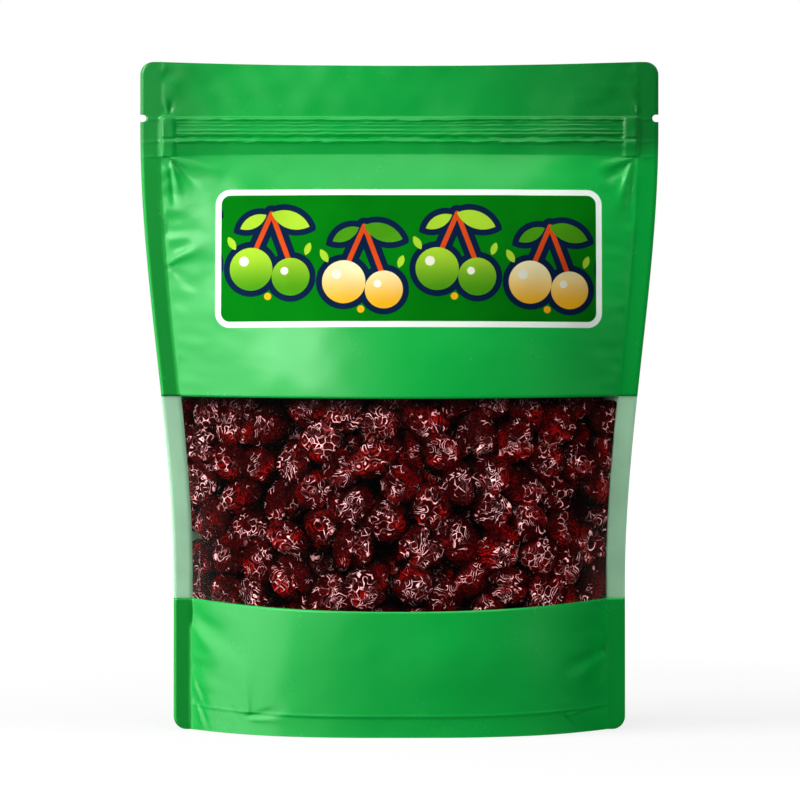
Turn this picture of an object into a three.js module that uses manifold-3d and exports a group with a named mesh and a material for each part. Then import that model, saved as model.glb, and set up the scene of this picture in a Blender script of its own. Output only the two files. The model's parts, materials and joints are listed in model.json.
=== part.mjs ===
// A stand-up zip pouch of dried sour cherries, with a clear window across its front.
// Lengths are millimetres. The pouch stands on z = 0, centred on the z axis, and its window faces -Y.

import * as THREE from "three";
import { mergeVertices } from "three/addons/utils/BufferGeometryUtils.js";
import Module from "manifold-3d";

const wasm = await Module();
wasm.setup();

// Outline of the pouch, seen from the front
const HEIGHT = 206;
const TOP_WIDTH = 160;
const BASE_WIDTH = 139.4;
const CORNER_RADIUS = 4;
const TOP_EDGE_DIP = 1.2;
const TAPER_FROM = 45;
const TAPER_TO = 185;

// Side seals, where the front and back film are welded flat
const FIN_THICKNESS = 1.2;
const SEAL_WIDTH_TOP = 6.2;
const SEAL_WIDTH_BASE = 5.4;

// Fullness of the filled part: how far a panel stands out from the plane of the seals
const BELLY_DEPTH = 29.8;
const BASE_TUCK = 1.8;
const BASE_TUCK_HEIGHT = 25;
const SHOULDER_Z = 178;
const SHOULDER_POWER = 3.2;
const ROUNDNESS_BASE = 3;
const ROUNDNESS_TOP = 2.1;

// Zip, which shows through the film as a flat band with a bead at its top and its bottom
const ZIP_LOW = 176.7;
const ZIP_HIGH = 189;
const ZIP_STAND = 0.7;
const ZIP_BEADS = [
  { z: 188.3, halfHeight: 0.55, stand: 0.5 },
  { z: 181.8, halfHeight: 0.7, stand: 0.6 },
];

// Tear notches, cut into both side seals
const NOTCH_Z = 188.6;
const NOTCH_DEPTH = 1.9;
const NOTCH_HEIGHT = 2.3;

// Welded seam along the bottom edge of each panel, and the hollow under the base
const SEAM_HEIGHT = 6.3;
const SEAM_STEP = 0.4;
const BASE_RIM = 3.2;
const BASE_HOLLOW = 2.8;

// Window band, from one outer edge of the pouch to the other
const WINDOW_LOW = 40.5;
const WINDOW_LOW_DIP = 2.5;
const WINDOW_HIGH = 102.8;
const WINDOW_HIGH_DIP = 0.8;
const WINDOW_FILM = 0.4;
const CLEARANCE = 0.3;

// Heap of fruit behind the window
const POCKET_DEPTH = 14;
const POCKET_SHARE = 1.6;
const HEAP_SIDE_GAP = 2.4;
const CORE_DEPTH = 7.5;
const CORE_SHARE = 0.66;
const CHERRY_RADIUS = 7;
const CHERRY_SIZE_RANGE = [0.9, 1.1];
const CHERRY_DEPTH_RANGE = [0.84, 1.3];
const CHERRY_DENT_RANGE = [0.84, 1.06];
const CHERRY_WIDTH_RANGE = [0.95, 1.12];
const CHERRY_THICKNESS_RANGE = [0.7, 0.85];
const CHERRY_HEIGHT_RANGE = [0.85, 1];
const CHERRY_TILT = 0.5;
const CHERRY_PITCH = 12;
const CHERRY_ROW_SHARE = 0.88;
const CHERRY_JITTER = 1.8;
const CHERRY_ROOM_SHARE = 0.6;
const CHERRY_SIDE_SHARE = 0.93;
const HEAP_SEED = 20;

// Facets
const PANEL_COLUMNS = 20;
const CORE_COLUMNS = 12;
const HOLLOW_COLUMNS = 16;
const WINDOW_ROWS = 6;
const BELLY_ROWS = 15;
const BELLY_FIRST_ROW = 14;
const CORNER_STEPS = 4;
const BEAD_EDGE = 0.15;

// Colours of the printed film, the clear film and the fruit
const PRINTED_FILM = { color: 0x20a044, roughness: 0.38, metalness: 0 };
const CLEAR_FILM = {
  color: 0xdff2e2,
  roughness: 0.12,
  metalness: 0,
  transparent: true,
  opacity: 0.25,
};
const FRUIT = { color: 0x4a0a10, roughness: 0.3, metalness: 0 };

function mix(a, b, share) {
  return a + (b - a) * share;
}

function smooth(low, high, value) {
  const t = Math.min(1, Math.max(0, (value - low) / (high - low)));
  return t * t * (3 - 2 * t);
}

// Half of the pouch's width at a height, before the corners are rounded.
function halfWidth(z) {
  return mix(BASE_WIDTH / 2, TOP_WIDTH / 2, smooth(TAPER_FROM, TAPER_TO, z));
}

function outerEdge(z) {
  const rise = CORNER_RADIUS - Math.min(z, HEIGHT - z);
  if (rise <= 0) return halfWidth(z);
  return halfWidth(z) - CORNER_RADIUS + Math.sqrt(CORNER_RADIUS ** 2 - rise ** 2);
}

function innerEdge(z) {
  return halfWidth(z) - mix(SEAL_WIDTH_BASE, SEAL_WIDTH_TOP, z / HEIGHT);
}

// A share runs from -1 at the left seal's inner edge to 1 at the right one's; 2 is the outer edge.
function across(share, z) {
  if (Math.abs(share) > 1) return Math.sign(share) * outerEdge(z);
  return share * innerEdge(z);
}

function roundness(z) {
  return mix(ROUNDNESS_BASE, ROUNDNESS_TOP, smooth(0, HEIGHT / 2, z));
}

// How far the filled bag stands out from the welded film, without the zip or the seam.
function swell(share, z) {
  if (Math.abs(share) >= 1 || z >= SHOULDER_Z) return 0;
  const tuck = BASE_TUCK * (1 - smooth(0, BASE_TUCK_HEIGHT, z));
  const middle = BELLY_DEPTH * (1 - (z / SHOULDER_Z) ** SHOULDER_POWER) - tuck;
  return middle * (1 - Math.abs(share) ** roundness(z));
}

function zipStand(share, z) {
  if (Math.abs(share) >= 1 || z < ZIP_LOW || z > ZIP_HIGH) return 0;
  let stand = ZIP_STAND;
  for (const bead of ZIP_BEADS) {
    if (Math.abs(z - bead.z) < bead.halfHeight) stand += bead.stand;
  }
  return stand;
}

function seamStep(share, z) {
  return Math.abs(share) < 1 && z > 0 && z < SEAM_HEIGHT ? SEAM_STEP : 0;
}

// Distance of the outside of either panel from the plane of the seals.
function panelDepth(share, z) {
  const bag = Math.max(swell(share, z), zipStand(share, z));
  return FIN_THICKNESS / 2 + Math.max(0, bag - seamStep(share, z));
}

function topDip(share) {
  return Math.abs(share) > 1 ? 0 : TOP_EDGE_DIP * (1 - share ** 2);
}

function outside(side, share, z) {
  const lowered = z - topDip(share) * smooth(ZIP_HIGH, HEIGHT, z);
  return [across(share, z), side * panelDepth(share, z), lowered];
}

// Columns of a panel: closer together towards the seals, where the film curves most.
function columnShares(count, reach = 1) {
  const shares = [];
  for (let i = 0; i <= count; i++) {
    shares.push(reach * Math.sin((Math.PI / 2) * ((2 * i) / count - 1)));
  }
  return shares;
}

function evenSteps(from, to, count) {
  return Array.from({ length: count + 1 }, (_, i) => mix(from, to, i / count));
}

function geometryOf(positions, triangles) {
  const geometry = new THREE.BufferGeometry();
  geometry.setAttribute("position", new THREE.Float32BufferAttribute(positions, 3));
  geometry.setIndex(triangles);
  return geometry;
}

// Closed solid between a front and a back grid of points, given as functions of column and row.
function gridGeometry(columns, rows, front, back) {
  const positions = [front, back].flatMap((point) =>
    rows.flatMap((row) => columns.flatMap((column) => point(column, row))),
  );
  const width = columns.length;
  const backStart = width * rows.length;
  const triangles = [];
  for (let r = 0; r + 1 < rows.length; r++) {
    for (let c = 0; c + 1 < width; c++) {
      const a = r * width + c;
      const b = a + width;
      triangles.push(a, a + 1, b + 1, a, b + 1, b);
      const [p, q] = [a + backStart, b + backStart];
      triangles.push(p, q + 1, p + 1, p, q, q + 1);
    }
  }
  const wall = (p, q) => {
    triangles.push(q, p, p + backStart, q, p + backStart, q + backStart);
  };
  const lastRow = backStart - width;
  for (let c = 0; c + 1 < width; c++) {
    wall(c, c + 1);
    wall(lastRow + c + 1, lastRow + c);
  }
  for (let r = 0; r + 1 < rows.length; r++) {
    wall((r + 1) * width, r * width);
    wall(r * width + width - 1, (r + 1) * width + width - 1);
  }
  return geometryOf(positions, triangles);
}

function solidOf(geometry) {
  const bare = geometry.clone();
  bare.deleteAttribute("normal");
  bare.deleteAttribute("uv");
  const merged = mergeVertices(bare);
  return new wasm.Manifold(
    new wasm.Mesh({
      numProp: 3,
      vertProperties: new Float32Array(merged.attributes.position.array),
      triVerts: new Uint32Array(merged.index.array),
    }),
  );
}

function meshOf(name, solid, finish) {
  const { vertProperties, triVerts } = solid.getMesh();
  const geometry = geometryOf(vertProperties, Array.from(triVerts));
  geometry.computeVertexNormals();
  const mesh = new THREE.Mesh(geometry, new THREE.MeshStandardMaterial(finish));
  mesh.name = name;
  return mesh;
}

// Heights at which the pouch changes shape, from the floor to the top edge.
function pouchRows() {
  const turns = evenSteps(0, Math.PI / 2, CORNER_STEPS);
  const corner = turns.map((turn) => CORNER_RADIUS * (1 - Math.cos(turn)));
  const seam = [SEAM_HEIGHT - 0.01, SEAM_HEIGHT + SEAM_STEP];
  const belly = evenSteps(BELLY_FIRST_ROW, ZIP_LOW - 4, BELLY_ROWS);
  const zip = [ZIP_LOW - 0.5, ZIP_LOW];
  for (const bead of [...ZIP_BEADS].reverse()) {
    const [low, high] = [bead.z - bead.halfHeight, bead.z + bead.halfHeight];
    zip.push(low, low + BEAD_EDGE, high - BEAD_EDGE, high);
  }
  zip.push(ZIP_HIGH, ZIP_HIGH + 0.5);
  const top = corner.map((step) => HEIGHT - step).reverse();
  return [...corner, ...seam, ...belly, ...zip, mix(ZIP_HIGH, HEIGHT, 0.4), ...top];
}

// Shallow hollow that the folded base leaves above the floor, inside its flat rim.
function baseHollow() {
  const domeHeight = BASE_HOLLOW + 0.4;
  const shrink = (z) => Math.sqrt(1 - (Math.max(0, z) / domeHeight) ** 2);
  const point = (side) => (share, z) => {
    const depth = Math.max(0.5, panelDepth(share, 0) - BASE_RIM);
    return [share * innerEdge(0) * shrink(z), side * depth * shrink(z), z];
  };
  const columns = columnShares(HOLLOW_COLUMNS, 0.92);
  const rows = [-1, 0, BASE_HOLLOW / 2, 0.82 * BASE_HOLLOW, BASE_HOLLOW];
  return solidOf(gridGeometry(columns, rows, point(-1), point(1)));
}

function tearNotch(side) {
  const radius = NOTCH_HEIGHT / 2;
  const edge = halfWidth(NOTCH_Z);
  const shape = new THREE.Shape();
  shape.moveTo(edge + 1, -radius);
  shape.lineTo(edge + 1, radius);
  shape.lineTo(edge - NOTCH_DEPTH + radius, radius);
  shape.absarc(edge - NOTCH_DEPTH + radius, 0, radius, Math.PI / 2, (3 * Math.PI) / 2, false);
  const depth = 4 * FIN_THICKNESS;
  const cut = new THREE.ExtrudeGeometry(shape, { depth, bevelEnabled: false, curveSegments: 6 });
  cut.rotateX(Math.PI / 2);
  cut.translate(0, depth / 2, NOTCH_Z);
  if (side < 0) cut.rotateZ(Math.PI);
  return solidOf(cut);
}

// A point of the window band: rise is 0 at its lower edge and 1 at its upper edge.
function windowZ(share, rise, margin = 0) {
  const bow = 1 - Math.min(1, share ** 2);
  const low = WINDOW_LOW - WINDOW_LOW_DIP * bow + margin;
  const high = WINDOW_HIGH - WINDOW_HIGH_DIP * bow - margin;
  return mix(low, high, rise);
}

// How far behind the outside of the front film the pocket for the fruit reaches.
function pocketDepth(share, z) {
  return WINDOW_FILM + CLEARANCE + Math.min(POCKET_DEPTH, POCKET_SHARE * swell(share, z));
}

const windowRises = evenSteps(0, 1, WINDOW_ROWS);
const panelColumns = columnShares(PANEL_COLUMNS);
const pouchColumns = [-2, ...panelColumns, 2];

// A solid behind the window, between two distances from the outside of the front film.
function windowSolid(columns, rises, margin, nearDepth, farDepth) {
  const point = (depth) => (share, rise) => {
    const z = windowZ(share, rise, margin);
    return [across(share, z), depth(share, z) - panelDepth(share, z), z];
  };
  return solidOf(gridGeometry(columns, rises, point(nearDepth), point(farDepth)));
}

// The band that is cut out of the pouch for the window, from 2 mm before it to the pocket's back.
function windowPocket() {
  const beyond = (share, z) => {
    const x = across(share, z);
    return Math.abs(share) > 1 ? x + Math.sign(x) : x;
  };
  const point = (depth) => (share, rise) => {
    const z = windowZ(share, rise);
    return [beyond(share, z), depth(share, z) - panelDepth(share, z), z];
  };
  const front = point(() => -2);
  return solidOf(gridGeometry(pouchColumns, windowRises, front, point(pocketDepth)));
}

function pouch() {
  const front = (share, z) => outside(-1, share, z);
  const back = (share, z) => outside(1, share, z);
  const bag = solidOf(gridGeometry(pouchColumns, pouchRows(), front, back));
  return bag
    .subtract(windowPocket())
    .subtract(baseHollow())
    .subtract(tearNotch(-1))
    .subtract(tearNotch(1));
}

function windowFilm() {
  return windowSolid(pouchColumns, windowRises, CLEARANCE, () => 0, () => WINDOW_FILM);
}

// Random numbers from 0 to 1 that are the same on every run.
function randomFrom(seed) {
  let state = seed;
  return () => {
    state = (state + 0x6d2b79f5) | 0;
    let t = Math.imul(state ^ (state >>> 15), 1 | state);
    t = (t + Math.imul(t ^ (t >>> 7), 61 | t)) ^ t;
    return ((t ^ (t >>> 14)) >>> 0) / 4294967296;
  };
}

function pick(random, [low, high]) {
  return mix(low, high, random());
}

// Share of the half width at which the heap ends beside each seal.
function heapReach() {
  return 1 - HEAP_SIDE_GAP / innerEdge((WINDOW_LOW + WINDOW_HIGH) / 2);
}

// Space that the heap may fill: the pocket, clear of its walls and of the film.
function heapSpace() {
  const near = () => WINDOW_FILM + CLEARANCE;
  const far = (share, z) => pocketDepth(share, z) - CLEARANCE;
  const reach = heapReach();
  const inner = panelColumns.filter((share) => Math.abs(share) < reach - 0.01);
  return windowSolid([-reach, ...inner, reach], windowRises, CLEARANCE, near, far);
}

// Body of the heap behind the cherries that show. It runs past the heap's space, which trims it.
function heapCore() {
  const near = (share, z) => {
    const room = pocketDepth(share, z) - WINDOW_FILM - CLEARANCE;
    return WINDOW_FILM + CLEARANCE + Math.min(CORE_DEPTH, CORE_SHARE * room);
  };
  const far = (share, z) => pocketDepth(share, z) + 1;
  return windowSolid(columnShares(CORE_COLUMNS), evenSteps(0, 1, 2), -1, near, far);
}

// Outward direction of the front film at a point.
function filmNormal(share, z) {
  const step = 0.01;
  const at = (s, h) => new THREE.Vector3(across(s, h), -panelDepth(s, h), h);
  const sideways = at(share + step, z).sub(at(share - step, z));
  const upward = at(share, z + 1).sub(at(share, z - 1));
  return sideways.cross(upward).normalize();
}

// One dried cherry: a flattened ball with a few broad dents.
function cherry(random, centre, radius) {
  const geometry = new THREE.IcosahedronGeometry(radius, 1);
  geometry.deleteAttribute("normal");
  geometry.deleteAttribute("uv");
  const merged = mergeVertices(geometry);
  const position = merged.attributes.position;
  const point = new THREE.Vector3();
  for (let i = 0; i < position.count; i++) {
    point.fromBufferAttribute(position, i).multiplyScalar(pick(random, CHERRY_DENT_RANGE));
    position.setXYZ(i, point.x, point.y, point.z);
  }
  const width = pick(random, CHERRY_WIDTH_RANGE);
  const thickness = pick(random, CHERRY_THICKNESS_RANGE);
  merged.scale(width, thickness, pick(random, CHERRY_HEIGHT_RANGE));
  const tilt = () => CHERRY_TILT * random();
  const turn = new THREE.Euler(tilt(), Math.PI * random(), tilt());
  merged.applyMatrix4(new THREE.Matrix4().makeRotationFromEuler(turn));
  merged.translate(centre.x, centre.y, centre.z);
  return solidOf(merged);
}

// Centres of the cherries that show, in staggered rows behind the film.
function cherryPlaces(random) {
  const places = [];
  const reach = innerEdge(WINDOW_LOW) - HEAP_SIDE_GAP;
  const rowPitch = CHERRY_PITCH * CHERRY_ROW_SHARE;
  const rows = Math.round((WINDOW_HIGH - WINDOW_LOW + WINDOW_LOW_DIP) / rowPitch);
  for (let r = 0; r <= rows; r++) {
    const rowZ = WINDOW_LOW - WINDOW_LOW_DIP + r * rowPitch;
    const shift = r % 2 ? CHERRY_PITCH / 2 : 0;
    for (let x = -reach + shift; x <= reach + CHERRY_PITCH / 4; x += CHERRY_PITCH) {
      const jitter = () => CHERRY_JITTER * (2 * random() - 1);
      const z = rowZ + jitter();
      const wanted = (x + jitter()) / innerEdge(z);
      const share = Math.sign(wanted) * Math.min(CHERRY_SIDE_SHARE, Math.abs(wanted));
      const radius = CHERRY_RADIUS * pick(random, CHERRY_SIZE_RANGE);
      const room = CHERRY_ROOM_SHARE * pocketDepth(share, z);
      const behindFilm = WINDOW_FILM + CLEARANCE + radius * pick(random, CHERRY_DEPTH_RANGE);
      const depth = Math.min(room, behindFilm);
      const surface = new THREE.Vector3(across(share, z), -panelDepth(share, z), z);
      places.push({ centre: surface.addScaledVector(filmNormal(share, z), -depth), radius });
    }
  }
  return places;
}

function heap() {
  const random = randomFrom(HEAP_SEED);
  let fruit = heapCore();
  for (const { centre, radius } of cherryPlaces(random)) {
    fruit = fruit.add(cherry(random, centre, radius));
  }
  return fruit.intersect(heapSpace());
}

const root = new THREE.Group();
root.add(
  meshOf("pouch", pouch(), PRINTED_FILM),
  meshOf("cherries", heap(), FRUIT),
  meshOf("window_film", windowFilm(), CLEAR_FILM),
);

export default root;
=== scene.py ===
"""A stand-up zip pouch of dried sour cherries.

Lengths are metres. The pouch stands on z = 0, its window faces -Y, and x = 0 is its middle.
"""

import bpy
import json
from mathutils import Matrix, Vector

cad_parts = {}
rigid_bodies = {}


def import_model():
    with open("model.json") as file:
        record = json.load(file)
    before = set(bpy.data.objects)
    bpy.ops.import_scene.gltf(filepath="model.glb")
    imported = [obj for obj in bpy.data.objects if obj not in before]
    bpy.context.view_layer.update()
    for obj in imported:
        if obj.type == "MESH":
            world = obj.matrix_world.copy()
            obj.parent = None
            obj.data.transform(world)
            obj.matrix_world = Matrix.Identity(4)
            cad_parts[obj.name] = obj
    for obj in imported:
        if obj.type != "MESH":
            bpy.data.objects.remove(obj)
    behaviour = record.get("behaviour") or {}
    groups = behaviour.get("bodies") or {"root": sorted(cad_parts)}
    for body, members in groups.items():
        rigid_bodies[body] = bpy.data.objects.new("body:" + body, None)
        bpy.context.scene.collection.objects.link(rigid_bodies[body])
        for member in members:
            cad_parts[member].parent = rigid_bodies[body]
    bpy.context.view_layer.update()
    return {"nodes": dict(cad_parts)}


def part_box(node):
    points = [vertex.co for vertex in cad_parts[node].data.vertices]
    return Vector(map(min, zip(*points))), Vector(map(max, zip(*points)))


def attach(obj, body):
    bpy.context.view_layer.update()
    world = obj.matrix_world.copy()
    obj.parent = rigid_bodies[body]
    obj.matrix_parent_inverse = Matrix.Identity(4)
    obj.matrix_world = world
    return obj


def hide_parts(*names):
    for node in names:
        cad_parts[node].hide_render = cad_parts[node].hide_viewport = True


bl_info = {
    "name": "Cherry Pouch",
    "version": (1, 0, 0),
    "blender": (4, 5, 0),
    "location": "View3D > Sidebar > Pouch",
    "description": "Makes a stand-up zip pouch of dried sour cherries with a clear window",
    "category": "Object",
}

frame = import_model()

import itertools
import json
import math

import bpy
import numpy as np
from mathutils import Matrix, Vector

POUCH_LOW, POUCH_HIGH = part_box("pouch")
WINDOW_LOW, WINDOW_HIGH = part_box("window_film")
HEAP_LOW, HEAP_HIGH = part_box("cherries")
MM = 0.001

# Near black of full painted shade on the fruit: in its troughs, deep in the heap, under the print and
# where it turns away.
SHADE_BLACK = (0.003, 0.0002, 0.0003)
NUMBER = "NodeSocketFloat"
PLACE = "NodeSocketVector"
COLOUR = "NodeSocketColor"

# Room left between the two films of a weld, on each side of its middle plane.
FILM_GAP = 0.02 * MM


def length(name, description, default):
    return bpy.props.FloatProperty(
        name=name, description=description, default=default, unit="LENGTH", precision=5
    )


def share(name, description, default):
    return bpy.props.FloatProperty(
        name=name, description=description, default=default, min=0, max=1, subtype="FACTOR"
    )


def colour(name, description, default):
    return bpy.props.FloatVectorProperty(
        name=name, description=description, default=default, size=3, min=0, max=1, subtype="COLOR"
    )


class PouchSizes(bpy.types.PropertyGroup):
    """Sizes of the film bag."""

    height: length("Height", "Floor to the top corners", POUCH_HIGH.z)
    top_width: length("Top width", "Width across the zip", 2 * POUCH_HIGH.x)
    base_width: length("Base width", "Width across the base", 139.4 * MM)
    corner: length("Corner radius", "Rounding of the four corners", 4 * MM)
    top_dip: length("Top dip", "How far the top edge sinks in its middle", 1.2 * MM)
    seal_top: length("Seal width at the top", "Width of a side seal", 6.2 * MM)
    seal_base: length("Seal width at the base", "Width of a side seal", 5.4 * MM)
    fin: length("Fin thickness", "Both films of a side seal together", 0.6 * MM)
    film: length("Film thickness", "One film", 0.14 * MM)
    belly: length("Belly depth", "Film to seal plane at the fullest place", POUCH_HIGH.y - 0.6 * MM)
    base_tuck: length("Base tuck", "How far the bottom seam stands in from the belly", 1.8 * MM)
    shoulder: length("Shoulder height", "Where the films come together", 178 * MM)
    zip_low: length("Zip low edge", "Lower edge of the zip's flange", 176.7 * MM)
    zip_high: length("Zip high edge", "Upper edge of the zip", 189 * MM)
    notch_height: length("Notch height", "Height of the tear notches", 188.6 * MM)
    seam: length("Bottom seam", "Height of the welded seam", 6.3 * MM)


class WindowSizes(bpy.types.PropertyGroup):
    """Sizes of the clear band."""

    low: length("Low edge", "Height of the lower edge at the seals", 40.5 * MM)
    low_dip: length("Low dip", "How far the lower edge sinks in its middle", 2.5 * MM)
    high: length("High edge", "Height of the upper edge at the seals", 102.8 * MM)
    high_dip: length("High dip", "How far the upper edge sinks in its middle", 0.8 * MM)


class FruitSizes(bpy.types.PropertyGroup):
    """Sizes of the dried cherries and their heap."""

    count: bpy.props.IntProperty(name="Count", description="Cherries in the heap", default=150)
    radius: length("Radius", "Half the width of a middling cherry", 6.9 * MM)
    spread: share("Spread", "How much the sizes differ", 0.14)
    side_gap: length("Side gap", "Empty film between the heap and each seal", 0.2 * MM)
    depth: length("Depth", "How far the loose cherries reach behind the film", 21 * MM)
    margin: length("Margin", "How far the heap goes on behind the print", 9 * MM)
    seed: bpy.props.IntProperty(name="Seed", description="Draw of shapes and places", default=7)


class PrintSizes(bpy.types.PropertyGroup):
    """Sizes of the printed label."""

    middle_x: length("Middle across", "Middle of the label from the pouch's middle", 2.9 * MM)
    middle_z: length("Middle height", "Height of the label's middle", 145 * MM)
    half_width: length("Half width", "Half the width of the label", 59.4 * MM)
    half_height: length("Half height", "Half the height of the label", 21.3 * MM)
    corner: length("Corner", "Corner radius of the label", 4.6 * MM)
    border: length("Border", "Width of its pale line", 1.8 * MM)
    repeats: bpy.props.IntProperty(name="Repeats", description="Fruit pairs in the row", default=4)


class PouchColours(bpy.types.PropertyGroup):
    """Colours of the film, the print and the fruit."""

    film: colour("Film", "Green of the printed film", (0.0015, 0.40, 0.051))
    # The left weld's green is darkened as painted shade, and the right weld's green is lightened as
    # painted light against the belly's shadow.
    film_seal: colour("Left seal", "Green of the left weld", (0.0010, 0.33, 0.034))
    film_seal_right: colour("Right seal", "Green of the right weld", (0.0010, 0.46, 0.055))
    # Painted shade on the header: across its right side and in its left corner.
    film_shaded: colour("Header", "Green of the header's darker side", (0.0010, 0.165, 0.020))
    film_inside: colour("Inside", "Pale inner side of the film", (0.40, 0.74, 0.47))
    label: colour("Label", "Deep green field", (0.0003, 0.27, 0.006))
    border: colour("Border", "Pale line round the label", (0.82, 0.92, 0.84))
    outline: colour("Outline", "Navy outline", (0.004, 0.022, 0.075))
    cream: colour("Cream", "Upper tone of the pale fruit", (1.0, 0.96, 0.66))
    amber: colour("Amber", "Lower tone of the pale fruit", (0.98, 0.60, 0.02))
    lime: colour("Lime", "Upper tone of the green fruit", (0.52, 0.78, 0.05))
    moss: colour("Moss", "Lower tone of the green fruit", (0.10, 0.42, 0.01))
    stem: colour("Stem", "Stems", (0.80, 0.11, 0.015))
    flesh_dark: colour("Dark skin", "Skin in the folds", (0.020, 0.0001, 0.0003))
    # Redder skin: a random tone, and also the painted glow of light coming through the skin.
    flesh_red: colour("Red skin", "Skin where light comes through", (0.21, 0.0007, 0.0008))
    # Painted highlight on the crests of the folds.
    flesh_line: colour("Skin crests", "Glossy crests of the folds", (1.0, 0.52, 0.54))
    # Painted red halo beside the painted highlights.
    flesh_edge: colour("Skin beside crests", "Red rims of the crests", (0.12, 0.003, 0.004))


class StageSettings(bpy.types.PropertyGroup):
    """Camera and light."""

    distance: length("Camera distance", "Camera to the plane of the seals", 1.05)
    eye: length("Camera height", "Height of the camera over the floor", 101.6 * MM)
    aside: length("Camera aside", "Camera to the right of the pouch's middle", 0.2 * MM)
    frame: length("Frame", "Width seen in the plane of the seals", 247.1 * MM)


def smooth(low, high, value):
    t = np.clip((np.asarray(value, float) - low) / (high - low), 0, 1)
    return t * t * (3 - 2 * t)


def mix(a, b, amount):
    return a + (b - a) * amount


def bump(distance, width):
    """1 at no distance, fading to 0 over about twice the width."""
    return np.exp(-((distance / width) ** 2))


def unit(points):
    """The directions of points: each at length 1."""
    return points / np.linalg.norm(points, axis=-1, keepdims=True)


def waves(points, wavelength, rng, count=28):
    """A smooth random field over points, with about one length between its crests."""
    turn = unit(rng.normal(size=(count, points.shape[-1])))
    turn *= 2 * math.pi / wavelength * rng.uniform(0.75, 1.25, (count, 1))
    phase = rng.uniform(0, 2 * math.pi, count)
    return math.sqrt(2 / count) * np.cos(points @ turn.T + phase).sum(-1)


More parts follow.
